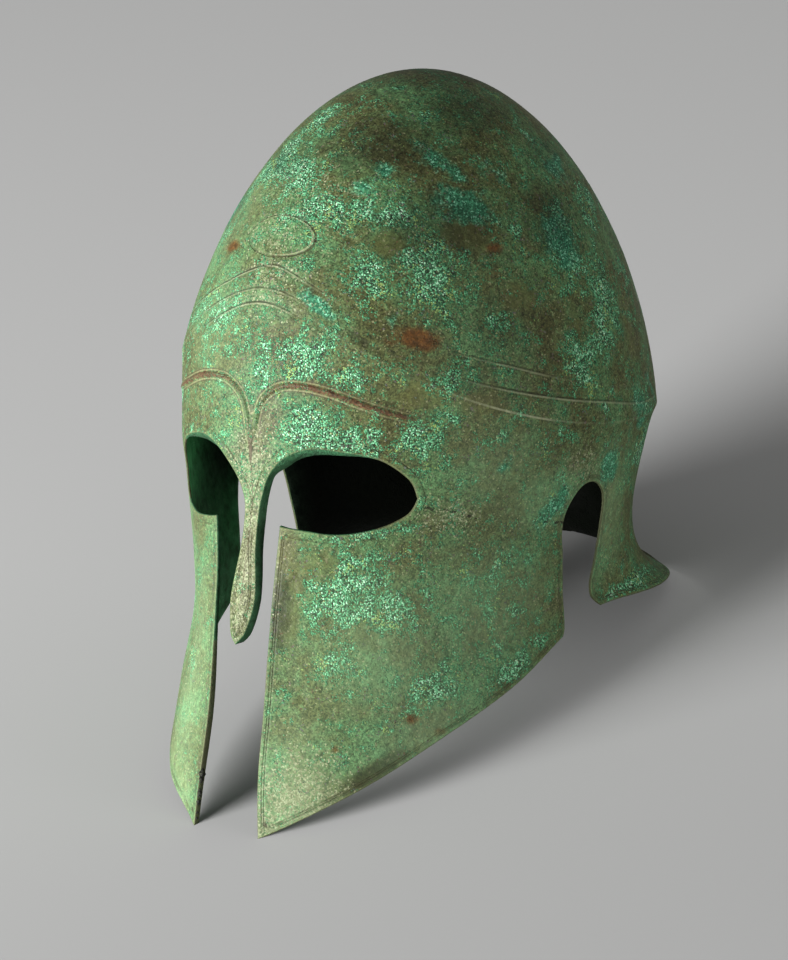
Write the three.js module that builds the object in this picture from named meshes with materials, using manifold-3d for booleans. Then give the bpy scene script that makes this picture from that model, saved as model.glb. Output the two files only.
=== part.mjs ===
// Corinthian helmet, raised from one bronze sheet: crown, brow, nose guard, cheek pieces and neck guard are
// one wall, so the helmet is one solid. Millimetres, +Z up. The wall is drawn as worn: the crown's axis is
// upright, the face looks along -Y and the wearer's left is +X. Angles run round the axis from the face.
// The finished wall is tipped back until it stands on its two cheek points and the rim of its neck guard.
import * as THREE from 'three';
import { mergeVertices } from 'three/addons/utils/BufferGeometryUtils.js';
import Module from 'manifold-3d';

// Crown: an egg-shaped dome over the axis, measured at the level of the wearer's temples.
const crown = {
  height: 152.3,
  halfWidth: 88.6,
  front: 119,
  back: 118.6,
  frontSquare: 2,
  backSquare: 2,
  rise: 1.755,
  round: 1.967,
};

// Crease between the crown and the skirt: high over the brow, low at the back of the head.
const crease = { back: 8, frontRise: 67, frontRounding: 15, fall: 40, ease: 14 };

// Skirt below the crease: reach of the wall at each level, how square its front and back are, and how far
// the nose guard stands ahead of the face (behind it where negative).
const skirtSections = [
  { z: -150, halfWidth: 74, front: 131, back: 98, frontSquare: 2, backSquare: 2.2, nose: 5 },
  { z: -120, halfWidth: 79, front: 127, back: 98, frontSquare: 2, backSquare: 2.2, nose: 5 },
  { z: -90, halfWidth: 79, front: 121.5, back: 98, frontSquare: 1.97, backSquare: 2.2, nose: 5 },
  { z: -62, halfWidth: 78, front: 117, back: 98, frontSquare: 1.92, backSquare: 2.2, nose: 4 },
  { z: -50, halfWidth: 78, front: 116, back: 98, frontSquare: 1.88, backSquare: 2.2, nose: 2 },
  { z: -30, halfWidth: 80, front: 114, back: 99.5, frontSquare: 1.88, backSquare: 2.1, nose: -0.5 },
  { z: -5, halfWidth: 82.5, front: 112.5, back: 104.5, frontSquare: 1.94, backSquare: 2.1, nose: -3.5 },
  { z: 10, halfWidth: 84, front: 112, back: 108, frontSquare: 2, backSquare: 2, nose: -2 },
  { z: 40, halfWidth: 85, front: 109, back: 112, frontSquare: 2, backSquare: 2, nose: 0 },
  { z: 80, halfWidth: 84, front: 104, back: 112, frontSquare: 2, backSquare: 2, nose: 0 },
];
const noseSpread = 6;

// Lower edge: cheek points in front, rising to the ear, then the rim of the neck guard, arched at the back.
// The two sides were cut by eye, and the right cheek piece is the narrower one.
const hemLevels = [
  { angle: 0, left: -145.5, right: -145.5 },
  { angle: 7, left: -138, right: -138 },
  { angle: 22, left: -121.5, right: -120 },
  { angle: 42, left: -101.5, right: -98 },
  { angle: 67, left: -83.5, right: -74.3 },
  { angle: 86, left: -70, right: -66 },
  { angle: 105, left: -63, right: -63 },
  { angle: 135, left: -63, right: -63 },
  { angle: 155, left: -63.2, right: -63.2 },
  { angle: 180, left: -59.5, right: -59.5 },
];
const neckFlare = { out: 20, height: 9, startAngle: 100, fullAngle: 150 };

// How far the right cheek piece is bent in or out from the left one's mirror image, at each level.
const rightSway = [
  { z: -150, out: 3 },
  { z: -125, out: 2.5 },
  { z: -105, out: 1 },
  { z: -88, out: 0 },
  { z: -62, out: -2 },
  { z: -40, out: -1 },
  { z: -15, out: 0 },
  { z: 5, out: 0 },
];
const swayFade = { start: 9, full: 20, easing: 55, end: 75 };

// Wall: thin all over, thick straight back along the nose guard and in the brow above it.
const wall = {
  sheet: 1.6,
  noseExtra: 4.6,
  noseAngle: 5.5,
  browAngle: 13,
  browLow: -5,
  browHigh: 12,
  top: 40,
};
const straightBack = { angle: 9, low: 0, high: 25 };

// Face opening, half of it seen from the front: the nose guard's edge, the eye, then the cheek's front edge.
const noseEdge = [[0, -62.5], [3.6, -58], [6, -47], [5.6, -38], [3.9, -26], [3.5, -15], [4.4, -5.7]];
const eyeTop = [[8.7, 4.4], [16.5, 12.5], [26, 16.3], [36.5, 15.6], [48.8, 12.4], [56.3, 4.5], [58, -4]];
const eyeBottom = [[55, -10.2], [46.9, -15.2], [35.3, -17.3], [24, -16]];
const cheekFront = {
  left: [[14.1, -14.8], [12.9, -36], [12.8, -60], [13.6, -88], [14.2, -112], [16, -138]],
  right: [[18, -14.6], [16.2, -36], [15.4, -60], [13.2, -88], [13.9, -112], [16, -138]],
};
const faceCut = { low: -180, front: -180, back: -40 };

// Ear notch, seen from the side: the cheek's rear edge, the arch over the ear, the neck guard's corner.
const cheekRear = {
  left: [[-7.8, -71.8], [-5.5, -67], [-6.3, -54], [-8.3, -38], [-10.6, -26]],
  right: [[-26.5, -72], [-23.6, -66.5], [-22.3, -55], [-21.8, -44], [-20.6, -31]],
};
const earArch = {
  left: [[-8.8, -17.4], [-1.5, -9.8], [7, -8.5], [14.4, -12.4], [18, -19], [17.3, -32], [15.8, -43]],
  right: [[-17.6, -20.5], [-12.5, -13.2], [-4, -9.8], [4.5, -11.4], [10.6, -18.5], [13.8, -28], [16.2, -40]],
};
const guardCorner = {
  left: [[13.3, -52], [14.3, -57.6], [18.1, -61], [22, -63.2]],
  right: [[18.2, -50], [19.3, -56.5], [22.4, -60.8], [26, -63.2]],
};
const earCut = { low: -110, inner: 40, outer: 130 };

// Raised brow line: from the nose guard up into an arch over each eye, dying out towards the temple.
const browLine = [[1, -30], [1, 0], [1.4, 24], [6, 35.5], [16, 40.8], [30, 39.3], [46, 33], [67, 24.5]];
const browBead = { halfWidth: 1.3, height: 0.9, sunk: 1, steps: 30 };
const browTaper = { endSize: 0.15, low: 6, high: 4 };

// Stand: how much of the points and of the rim is worn flat, and where the rim takes the weight.
const stand = { wornFlat: 0.4, pointAngle: 7.1, rimAngle: 155, sawDepth: 60, sawReach: 400 };

// Facets: angles of the columns from the face to the back, rows over the crown, shares of the skirt's depth.
const frontColumns = [0, 2.5, 5, 8, 11, 15, 19, 23, 27, 31, 35];
const sideColumns = { first: 40, step: 7, last: 180 };
const crownRows = 12;
const skirtShares = [0.03, 0.09, 0.17, 0.26, 0.35, 0.44, 0.53, 0.62, 0.71, 0.79, 0.86, 0.92, 0.965, 1];
const curveSteps = 4;
const facePasses = 8;

const bronze = new THREE.MeshStandardMaterial({ color: 0x4f6f50, roughness: 0.75, metalness: 0.3 });

const radians = THREE.MathUtils.degToRad;
const smoothstep = THREE.MathUtils.smoothstep;

// Smooth value of a table's column between its rows, which are in rising order of the key column.
function tableValue(rows, key, column, at) {
  const last = rows.length - 1;
  const x = THREE.MathUtils.clamp(at, rows[0][key], rows[last][key]);
  let i = 0;
  while (i < last - 1 && x > rows[i + 1][key]) i += 1;
  const slope = (k) => {
    const before = rows[Math.max(k - 1, 0)];
    const after = rows[Math.min(k + 1, last)];
    return (after[column] - before[column]) / (after[key] - before[key]);
  };
  const width = rows[i + 1][key] - rows[i][key];
  const t = (x - rows[i][key]) / width;
  const rise = rows[i + 1][column] - rows[i][column];
  const startBend = slope(i) * width - rise;
  const endBend = rise - slope(i + 1) * width;
  return rows[i][column] + t * rise + t * (1 - t) * ((1 - t) * startBend + t * endBend);
}

// Radius of an oval section with different reaches to the side, the front and the back.
function ovalRadius(angle, { halfWidth, front, back, frontSquare, backSquare }) {
  const facing = Math.cos(radians(angle));
  const power = facing > 0 ? frontSquare : backSquare;
  const across = Math.abs(Math.sin(radians(angle))) / halfWidth;
  const along = Math.abs(facing) / (facing > 0 ? front : back);
  return (across ** power + along ** power) ** (-1 / power);
}

function creaseLevel(angle) {
  const fromFront = Math.hypot(angle, crease.frontRounding) - crease.frontRounding;
  return crease.back + crease.frontRise * Math.exp(-fromFront / crease.fall);
}

function crownRadius(angle, z) {
  const shrink = (1 - (z / crown.height) ** crown.rise) ** (1 / crown.round);
  return shrink * ovalRadius(angle, crown);
}

function sectionRadius(angle, z) {
  const section = {};
  for (const column of Object.keys(skirtSections[0])) {
    section[column] = tableValue(skirtSections, 'z', column, z);
  }
  return ovalRadius(angle, section) + section.nose * Math.exp(-((angle / noseSpread) ** 2));
}

function sideName(signed) {
  return signed < 0 ? 'right' : 'left';
}

function hemLevel(signedAngle) {
  return tableValue(hemLevels, 'angle', sideName(signedAngle), Math.abs(signedAngle));
}

// The skirt leaves the crown at the crease, eases in under it and flares out again along the neck rim.
function skirtRadius(angle, z) {
  const top = creaseLevel(angle);
  const overhang = crownRadius(angle, top) - sectionRadius(angle, top);
  const flare = neckFlare.out * smoothstep(angle, neckFlare.startAngle, neckFlare.fullAngle);
  const aboveRim = Math.max(z - hemLevel(angle), 0);
  return (
    sectionRadius(angle, z) +
    overhang * Math.exp((z - top) / crease.ease) +
    flare * Math.exp(-aboveRim / neckFlare.height)
  );
}

function sway(signedAngle, z) {
  if (signedAngle >= 0) return 0;
  const inFront = smoothstep(-signedAngle, swayFade.start, swayFade.full);
  const behind = 1 - smoothstep(-signedAngle, swayFade.easing, swayFade.end);
  return inFront * behind * tableValue(rightSway, 'z', 'out', z);
}

// Point of the outer surface at a signed angle, positive on the left.
function surfacePoint(signedAngle, z) {
  const angle = Math.abs(signedAngle);
  const below = skirtRadius(angle, z) + sway(signedAngle, z);
  const radius = z > creaseLevel(angle) ? crownRadius(angle, z) : below;
  const turn = radians(signedAngle);
  return new THREE.Vector3(radius * Math.sin(turn), -radius * Math.cos(turn), z);
}

// Point of the outer surface at a given distance from the middle plane, near the face.
function facePoint(x, z) {
  let angle = 0;
  for (let pass = 0; pass < facePasses; pass += 1) {
    const onSurface = surfacePoint(angle, z);
    angle += THREE.MathUtils.radToDeg((x - onSurface.x) / Math.hypot(onSurface.x, onSurface.y));
  }
  return surfacePoint(angle, z);
}

function thickness(angle, z) {
  const brow = smoothstep(z, wall.browLow, wall.browHigh);
  const spread = THREE.MathUtils.lerp(wall.noseAngle, wall.browAngle, brow);
  const fade = 1 - smoothstep(z, wall.browHigh, wall.top);
  return wall.sheet + wall.noseExtra * fade * Math.exp(-((angle / spread) ** 2));
}

// How far the wall's depth is measured straight back instead of square to the outer surface.
function backShare(angle, z) {
  const belowBrow = 1 - smoothstep(z, straightBack.low, straightBack.high);
  return belowBrow * Math.exp(-((angle / straightBack.angle) ** 2));
}

// Signed column angles all the way round, from the back over the right side, the face and the left side.
function columnAngles() {
  const half = [...frontColumns];
  for (let angle = sideColumns.first; angle <= sideColumns.last; angle += sideColumns.step) half.push(angle);
  const right = half.slice(1, -1).map((angle) => -angle);
  return [...half, ...right.reverse()];
}

// Levels of one column from just under the crown's top down to the lower edge.
function columnLevels(signedAngle) {
  const top = creaseLevel(Math.abs(signedAngle));
  const levels = [];
  for (let row = 1; row <= crownRows; row += 1) {
    levels.push(top + (crown.height - top) * Math.cos((Math.PI / 2) * (row / crownRows)));
  }
  for (const share of skirtShares) levels.push(THREE.MathUtils.lerp(top, hemLevel(signedAngle), share));
  return levels;
}

// The sheet: the outer surface, the inner surface one thickness inside it, and the edge that joins them.
function sheetGeometry() {
  const angles = columnAngles();
  const outer = angles.map((angle) => columnLevels(angle).map((z) => surfacePoint(angle, z)));
  const columns = angles.length;
  const rows = outer[0].length;
  const inner = outer.map((column, c) =>
    column.map((point, r) => {
      const above = r > 0 ? column[r - 1] : new THREE.Vector3(0, 0, crown.height);
      const below = column[Math.min(r + 1, rows - 1)];
      const left = outer[(c + columns - 1) % columns][r];
      const right = outer[(c + 1) % columns][r];
      const down = new THREE.Vector3().subVectors(below, above);
      const across = new THREE.Vector3().subVectors(right, left);
      const outward = new THREE.Vector3().crossVectors(down, across).normalize();
      const forward = new THREE.Vector3(point.x, point.y, 0).normalize();
      outward.lerp(forward, backShare(angles[c], point.z)).normalize();
      return point.clone().addScaledVector(outward, -thickness(Math.abs(angles[c]), point.z));
    }),
  );
  const tops = [new THREE.Vector3(0, 0, crown.height), new THREE.Vector3(0, 0, crown.height - wall.sheet)];
  const vertices = [...outer.flat(), ...inner.flat(), ...tops];
  const outerAt = (c, r) => (c % columns) * rows + r;
  const innerAt = (c, r) => columns * rows + outerAt(c, r);
  const [outerTop, innerTop] = [2 * columns * rows, 2 * columns * rows + 1];
  const faces = [];
  const quad = (a, b, c, d) => faces.push(a, b, c, a, c, d);
  for (let c = 0; c < columns; c += 1) {
    faces.push(outerTop, outerAt(c, 0), outerAt(c + 1, 0));
    faces.push(innerTop, innerAt(c + 1, 0), innerAt(c, 0));
    for (let r = 0; r < rows - 1; r += 1) {
      quad(outerAt(c, r), outerAt(c, r + 1), outerAt(c + 1, r + 1), outerAt(c + 1, r));
      quad(innerAt(c, r), innerAt(c + 1, r), innerAt(c + 1, r + 1), innerAt(c, r + 1));
    }
    quad(outerAt(c + 1, rows - 1), outerAt(c, rows - 1), innerAt(c, rows - 1), innerAt(c + 1, rows - 1));
  }
  return meshGeometry(vertices, faces);
}

function meshGeometry(vertices, faces) {
  const geometry = new THREE.BufferGeometry().setFromPoints(vertices);
  geometry.setIndex(faces);
  return geometry;
}

// Smooth run of points through the given ones.
function smoothRun(points) {
  const curve = new THREE.SplineCurve(points.map(([x, y]) => new THREE.Vector2(x, y)));
  return curve.getPoints(curveSteps * (points.length - 1));
}

// Prism that opens one half of the face, from the nose guard's edge to the cheek's front edge.
function faceCutter(side) {
  const front = cheekFront[sideName(side)];
  const edge = [
    ...smoothRun([...noseEdge, ...eyeTop]),
    ...smoothRun([eyeTop.at(-1), ...eyeBottom, front[0]]).slice(1),
    ...smoothRun(front).slice(1),
  ];
  const outline = [...edge, new THREE.Vector2(edge.at(-1).x, faceCut.low), new THREE.Vector2(0, faceCut.low)];
  const shape = new THREE.Shape(outline.map((point) => new THREE.Vector2(side * point.x, point.y)));
  const depth = faceCut.back - faceCut.front;
  const prism = new THREE.ExtrudeGeometry(shape, { depth, bevelEnabled: false });
  return prism.rotateX(Math.PI / 2).translate(0, faceCut.back, 0);
}

// Prism that opens one ear notch, between the cheek piece and the neck guard.
function earCutter(side) {
  const edge = [cheekRear, earArch, guardCorner].flatMap((run) => smoothRun(run[sideName(side)]));
  const below = [edge.at(-1), edge[0]].map((point) => new THREE.Vector2(point.x, earCut.low));
  const outline = [...edge, ...below];
  const depth = earCut.outer - earCut.inner;
  const prism = new THREE.ExtrudeGeometry(new THREE.Shape(outline), { depth, bevelEnabled: false });
  const toSide = new THREE.Matrix4().makeBasis(
    new THREE.Vector3(0, 1, 0),
    new THREE.Vector3(0, 0, 1),
    new THREE.Vector3(1, 0, 0),
  );
  return prism.applyMatrix4(toSide).translate(side > 0 ? earCut.inner : -earCut.outer, 0, 0);
}

// Low bead laid along one brow line, sunk into the wall and thinning to nothing at both ends.
function browGeometry(side) {
  const line = new THREE.SplineCurve(browLine.map(([x, z]) => new THREE.Vector2(x, z)));
  const seat = (t) => {
    const { x, y } = line.getPoint(THREE.MathUtils.clamp(t, 0, 1));
    return facePoint(side * x, y);
  };
  const stations = [];
  for (let step = 0; step <= browBead.steps; step += 1) {
    const t = step / browBead.steps;
    const { endSize, low, high } = browTaper;
    const size = Math.min(1, endSize + low * t, endSize + high * (1 - t));
    const base = seat(t);
    const nearby = 0.5 / browBead.steps;
    const along = new THREE.Vector3().subVectors(seat(t + nearby), seat(t - nearby)).normalize();
    const outward = new THREE.Vector3(base.x, base.y, 0).normalize();
    const across = new THREE.Vector3().crossVectors(along, outward).normalize();
    const place = (a, o) => base.clone().addScaledVector(across, a).addScaledVector(outward, o);
    const half = browBead.halfWidth * size;
    const crest = place(0, browBead.height * size);
    stations.push([place(-half, -browBead.sunk), place(half, -browBead.sunk), crest]);
  }
  const faces = [0, 1, 2];
  for (let s = 0; s < stations.length - 1; s += 1) {
    for (let k = 0; k < 3; k += 1) {
      const [a, b] = [3 * s + k, 3 * s + ((k + 1) % 3)];
      faces.push(a, a + 3, b + 3, a, b + 3, b);
    }
  }
  const end = 3 * (stations.length - 1);
  faces.push(end, end + 2, end + 1);
  return meshGeometry(stations.flat(), faces);
}

const wasm = await Module();
wasm.setup();

// Closed solid from a geometry, for joining and cutting.
function solid(geometry) {
  const bare = geometry.clone();
  bare.deleteAttribute('normal');
  bare.deleteAttribute('uv');
  const merged = mergeVertices(bare, 1e-4);
  const vertProperties = new Float32Array(merged.attributes.position.array);
  const triVerts = new Uint32Array(merged.index.array);
  return new wasm.Manifold(new wasm.Mesh({ numProp: 3, vertProperties, triVerts }));
}

function solidGeometry(body) {
  const { vertProperties, triVerts } = body.getMesh();
  const geometry = new THREE.BufferGeometry();
  geometry.setAttribute('position', new THREE.BufferAttribute(new Float32Array(vertProperties), 3));
  geometry.setIndex(new THREE.BufferAttribute(new Uint32Array(triVerts), 1));
  return geometry;
}

// The sheet with its brow lines and openings, still as worn.
let body = solid(sheetGeometry());
for (const side of [-1, 1]) {
  body = body.add(solid(browGeometry(side)));
}
for (const side of [-1, 1]) {
  body = body.subtract(solid(faceCutter(side))).subtract(solid(earCutter(side)));
}

// Tipped back so that the cheek points and the neck rim are level, with both worn flat where they stand.
const cheekPoint = surfacePoint(stand.pointAngle, hemLevel(stand.pointAngle));
const rimPoint = surfacePoint(stand.rimAngle, hemLevel(stand.rimAngle));
const tip = Math.atan2(rimPoint.z - cheekPoint.z, rimPoint.y - cheekPoint.y);
const floorLevel = rimPoint.z * Math.cos(tip) - rimPoint.y * Math.sin(tip) + stand.wornFlat;
const standing = solidGeometry(body).rotateX(-tip).translate(0, 0, -floorLevel);
const saw = new THREE.BoxGeometry(stand.sawReach, stand.sawReach, stand.sawDepth);
saw.translate(0, 0, -stand.sawDepth / 2);
const geometry = solidGeometry(solid(standing).subtract(solid(saw)));
geometry.computeBoundingBox();
const { min, max } = geometry.boundingBox;
geometry.translate(0, -(min.y + max.y) / 2, 0);
geometry.computeVertexNormals();

const shell = new THREE.Mesh(geometry, bronze);
shell.name = 'helmet_shell';

const helmet = new THREE.Group();
helmet.add(shell);

export default helmet;
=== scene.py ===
"""Corinthian helmet of patinated bronze, standing on its cheek points and the rim of its neck guard."""
import math

import bpy
import numpy as np
from mathutils import Matrix, Vector
from mathutils.geometry import delaunay_2d_cdt
from mathutils.kdtree import KDTree


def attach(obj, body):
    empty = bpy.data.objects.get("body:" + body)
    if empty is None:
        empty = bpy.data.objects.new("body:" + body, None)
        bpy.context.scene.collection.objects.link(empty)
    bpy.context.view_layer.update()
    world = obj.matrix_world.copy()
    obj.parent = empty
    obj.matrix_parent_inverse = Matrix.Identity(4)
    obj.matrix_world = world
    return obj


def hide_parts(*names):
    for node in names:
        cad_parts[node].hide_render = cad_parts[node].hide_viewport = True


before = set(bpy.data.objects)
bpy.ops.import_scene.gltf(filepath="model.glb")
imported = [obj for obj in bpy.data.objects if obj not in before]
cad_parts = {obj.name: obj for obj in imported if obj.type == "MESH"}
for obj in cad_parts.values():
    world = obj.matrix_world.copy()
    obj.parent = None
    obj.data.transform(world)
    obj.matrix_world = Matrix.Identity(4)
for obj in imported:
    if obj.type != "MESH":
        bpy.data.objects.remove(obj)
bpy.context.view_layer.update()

# The bronze sheet: one piece, hammered up from a flat disc into crown, skirt, cheek pieces and neck guard.
# It is drawn as worn, in millimetres round the crown's upright axis: the face looks along -Y, the wearer's
# left is +X, and angles run in degrees from the middle of the face, positive on the left.
CROWN = {"height": 152.3, "half_width": 88.6, "front": 119.0, "back": 118.6, "rise": 1.755, "round": 1.967}
CREASE = {"back": 8.0, "front_rise": 67.0, "front_rounding": 15.0, "fall": 40.0, "ease": 14.0}
# Each row of the skirt: level, half width, front, back, squareness of front and back, and the nose's ridge.
SKIRT = np.array([
    (-150, 74.0, 131.0, 98.0, 2.00, 2.2, 5.0),
    (-120, 79.0, 127.0, 98.0, 2.00, 2.2, 5.0),
    (-90, 79.0, 121.5, 98.0, 1.97, 2.2, 5.0),
    (-62, 78.0, 117.0, 98.0, 1.92, 2.2, 4.0),
    (-50, 78.0, 116.0, 98.0, 1.88, 2.2, 2.0),
    (-30, 80.0, 114.0, 99.5, 1.88, 2.1, -0.5),
    (-5, 82.5, 112.5, 104.5, 1.94, 2.1, -3.5),
    (10, 84.0, 112.0, 108.0, 2.00, 2.0, -2.0),
    (40, 85.0, 109.0, 112.0, 2.00, 2.0, 0.0),
    (80, 84.0, 104.0, 112.0, 2.00, 2.0, 0.0),
])
NOSE_SPREAD = 6.0
# Each row of the hem: angle, and the level on the left and on the right.
HEM = np.array([
    (0, -145.5, -145.5), (7, -138, -138), (22, -121.5, -120), (42, -101.5, -98), (67, -83.5, -74.3),
    (86, -70, -66), (105, -63, -63), (135, -63, -63), (155, -63.2, -63.2), (180, -59.5, -59.5),
])
RIGHT_SWAY = np.array([(-150, 3), (-125, 2.5), (-105, 1), (-88, 0), (-62, -2), (-40, -1), (-15, 0), (5, 0)])
SWAY_FADE = {"start": 9.0, "full": 20.0, "easing": 55.0, "end": 75.0}
NECK_FLARE = {"out": 20.0, "height": 9.0, "start": 100.0, "full": 150.0}
WALL = {"sheet": 1.6, "nose_extra": 4.6, "nose": 5.5, "brow": 13.0, "top": 40.0}
WALL_BROW = {"low": -5.0, "high": 12.0}
STRAIGHT_BACK = {"angle": 9.0, "low": 0.0, "high": 25.0}
NORMAL_REACH = 1.2
TYPICAL_RADIUS = 100
TINY = 1e-9


def smoothstep(value, low, high):
    share = np.clip((value - low) / (high - low), 0.0, 1.0)
    return share * share * (3 - 2 * share)


def table_values(table, at):
    """Smooth values of a table's columns between its rows, whose first column is the key."""
    key = table[:, 0]
    x = np.clip(at, key[0], key[-1])
    i = np.clip(np.searchsorted(key, x, side="left") - 1, 0, len(key) - 2)
    before = np.maximum(np.arange(len(key)) - 1, 0)
    after = np.minimum(np.arange(len(key)) + 1, len(key) - 1)
    slope = (table[after] - table[before]) / (key[after] - key[before])[:, None]
    width = (key[i + 1] - key[i])[..., None]
    t = (x - key[i])[..., None] / width
    rise = table[i + 1] - table[i]
    bend = (1 - t) * (slope[i] * width - rise) + t * (rise - slope[i + 1] * width)
    return np.moveaxis(table[i] + t * rise + t * (1 - t) * bend, -1, 0)


def oval_radius(angle, half_width, front, back, front_square, back_square):
    facing = np.cos(np.radians(angle))
    power = np.where(facing > 0, front_square, back_square)
    across = np.abs(np.sin(np.radians(angle))) / half_width
    along = np.abs(facing) / np.where(facing > 0, front, back)
    return (across ** power + along ** power) ** (-1 / power)


def crease_level(angle):
    from_front = np.hypot(angle, CREASE["front_rounding"]) - CREASE["front_rounding"]
    return CREASE["back"] + CREASE["front_rise"] * np.exp(-from_front / CREASE["fall"])


def hem_level(angle):
    _, left, right = table_values(HEM, np.abs(angle))
    return np.where(angle < 0, right, left)


def crown_radius(angle, z):
    shrink = np.clip(1 - np.clip(z / CROWN["height"], 0, 1) ** CROWN["rise"], 0, 1) ** (1 / CROWN["round"])
    return shrink * oval_radius(angle, CROWN["half_width"], CROWN["front"], CROWN["back"], 2.0, 2.0)


def section_radius(angle, z):
    _, half_width, front, back, front_square, back_square, nose = table_values(SKIRT, z)
    oval = oval_radius(angle, half_width, front, back, front_square, back_square)
    return oval + nose * np.exp(-(angle / NOSE_SPREAD) ** 2)


def skirt_radius(angle, z):
    top = crease_level(angle)
    overhang = crown_radius(angle, top) - section_radius(angle, top)
    flare = NECK_FLARE["out"] * smoothstep(np.abs(angle), NECK_FLARE["start"], NECK_FLARE["full"])
    above_rim = np.maximum(z - hem_level(angle), 0)
    eased = section_radius(angle, z) + overhang * np.exp((z - top) / CREASE["ease"])
    return eased + flare * np.exp(-above_rim / NECK_FLARE["height"]) + right_sway(angle, z)


def right_sway(angle, z):
    """How far the right cheek piece is bent in or out from the left one's mirror image."""
    in_front = smoothstep(-angle, SWAY_FADE["start"], SWAY_FADE["full"])
    behind = 1 - smoothstep(-angle, SWAY_FADE["easing"], SWAY_FADE["end"])
    return in_front * behind * table_values(RIGHT_SWAY, z)[1]


def outer_points(angle, z):
    """Points of the sheet's outer face, as worn."""
    angle, z = np.broadcast_arrays(np.asarray(angle, float), np.asarray(z, float))
    on_crown = z >= crease_level(angle)
    below = np.minimum(z, crease_level(angle))
    radius = np.where(on_crown, crown_radius(angle, z), skirt_radius(angle, below))
    turn = np.radians(angle)
    return np.stack([radius * np.sin(turn), -radius * np.cos(turn), z], -1)


def outward(angle, z):
    """Unit normals of the outer face, taken over a millimetre or two so that the crease is rounded."""
    side = np.degrees(NORMAL_REACH / TYPICAL_RADIUS)
    up = np.minimum(z + NORMAL_REACH, CROWN["height"] - 0.01)
    rise = outer_points(angle, up) - outer_points(angle, z - NORMAL_REACH)
    across = outer_points(angle + side, z) - outer_points(angle - side, z)
    normal = np.cross(across, rise)
    return normal / np.maximum(np.linalg.norm(normal, axis=-1, keepdims=True), TINY)


def wall_thickness(angle, z):
    brow = smoothstep(z, WALL_BROW["low"], WALL_BROW["high"])
    spread = WALL["nose"] + (WALL["brow"] - WALL["nose"]) * brow
    fade = 1 - smoothstep(z, WALL_BROW["high"], WALL["top"])
    return WALL["sheet"] + WALL["nose_extra"] * fade * np.exp(-(angle / spread) ** 2)


def wall_outward(angle, z):
    """The way that the wall's depth is measured: square to the face, but straight back at the nose guard."""
    forward = np.stack([np.sin(np.radians(angle)), -np.cos(np.radians(angle)), np.zeros(len(angle))], -1)
    below_brow = 1 - smoothstep(z, STRAIGHT_BACK["low"], STRAIGHT_BACK["high"])
    share = (below_brow * np.exp(-(angle / STRAIGHT_BACK["angle"]) ** 2))[:, None]
    mixed = (1 - share) * outward(angle, z) + share * forward
    return mixed / np.maximum(np.linalg.norm(mixed, axis=1, keepdims=True), TINY)


# The cut edge: one line that runs round the whole lower side of the sheet, from the neck rim over the ear
# notch and the cheek piece into the eye and down the nose guard, and back the same way on the other side.
# The face is drawn from the front (across, up) and the ear notch from the side (back, up).
NOSE_EDGE = [(0, -62.5), (3.6, -58), (6, -47), (5.6, -38), (3.9, -26), (3.5, -15), (4.4, -5.7)]
EYE_TOP = {
    "left": [(8.7, 4.4), (16.5, 12.5), (26, 16.3), (36.5, 15.6), (48.8, 12.4), (56.3, 4.5), (58, -4)],
    "right": [(8.7, 4.4), (16.5, 12.5), (26, 16.1), (36.5, 14.6), (46.8, 9.8), (53, 2), (54.6, -5)],
}
EYE_BOTTOM = {
    "left": [(55, -10.2), (46.9, -15.2), (35.3, -17.3), (24, -16)],
    "right": [(52, -11), (45.6, -15.2), (35.3, -17.1), (24, -15.8)],
}
CHEEK_FRONT = {
    "left": [(14.1, -14.8), (12.9, -36), (12.8, -60), (13.6, -88), (14.2, -112), (16, -138)],
    "right": [(18, -14.6), (16.2, -36), (15.4, -60), (13.2, -88), (13.9, -112), (16, -138)],
}
CHEEK_REAR = {
    "left": [(-7.8, -71.8), (-5.5, -67), (-6.3, -54), (-8.3, -38), (-10.6, -26)],
    "right": [(-26.5, -72), (-23.6, -66.5), (-22.3, -55), (-21.8, -44), (-20.6, -31)],
}
EAR_ARCH = {
    "left": [(-8.8, -17.4), (-1.5, -9.8), (7, -8.5), (14.4, -12.4), (18, -19), (17.3, -32), (15.8, -43)],
    "right": [
        (-17.6, -20.5), (-12.5, -13.2), (-4, -9.8), (4.5, -11.4), (10.6, -18.5), (13.8, -28), (16.2, -40),
    ],
}
GUARD_CORNER = {
    "left": [(13.3, -52), (14.3, -57.6), (18.1, -61), (22, -63.2)],
    "right": [(18.2, -50), (19.3, -56.5), (22.4, -60.8), (26, -63.2)],
}
SIDES = {"left": 1, "right": -1}
EDGE_STEP = 1.15
SOLVE_ROUNDS = 12
FACE_RADIUS = 115
HEM_SAMPLES = 200
HEM_CLEAR = 0.05


def smooth_run(points, per_span=24):
    """Smooth run of points through the given ones."""
    p = np.array(points, float)
    padded = np.vstack([p[:1], p, p[-1:]])
    t = np.linspace(0, 1, per_span, endpoint=False)[:, None]
    spans = []
    for a, b, c, d in zip(padded, padded[1:], padded[2:], padded[3:]):
        bend = a - 2.5 * b + 2 * c - d / 2 + t * (1.5 * b - 1.5 * c + (d - a) / 2)
        spans.append(b + t * ((c - a) / 2 + t * bend))
    return np.vstack([*spans, p[-1:]])


def face_angles(across, z):
    """Angles of the outer face's points at a distance from the middle plane, on the front half."""
    angle = np.degrees(np.arcsin(across / FACE_RADIUS))
    for _ in range(SOLVE_ROUNDS):
        p = outer_points(angle, z)
        angle = angle + np.degrees((across - p[:, 0]) / np.hypot(p[:, 0], p[:, 1]))
    return angle


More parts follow.
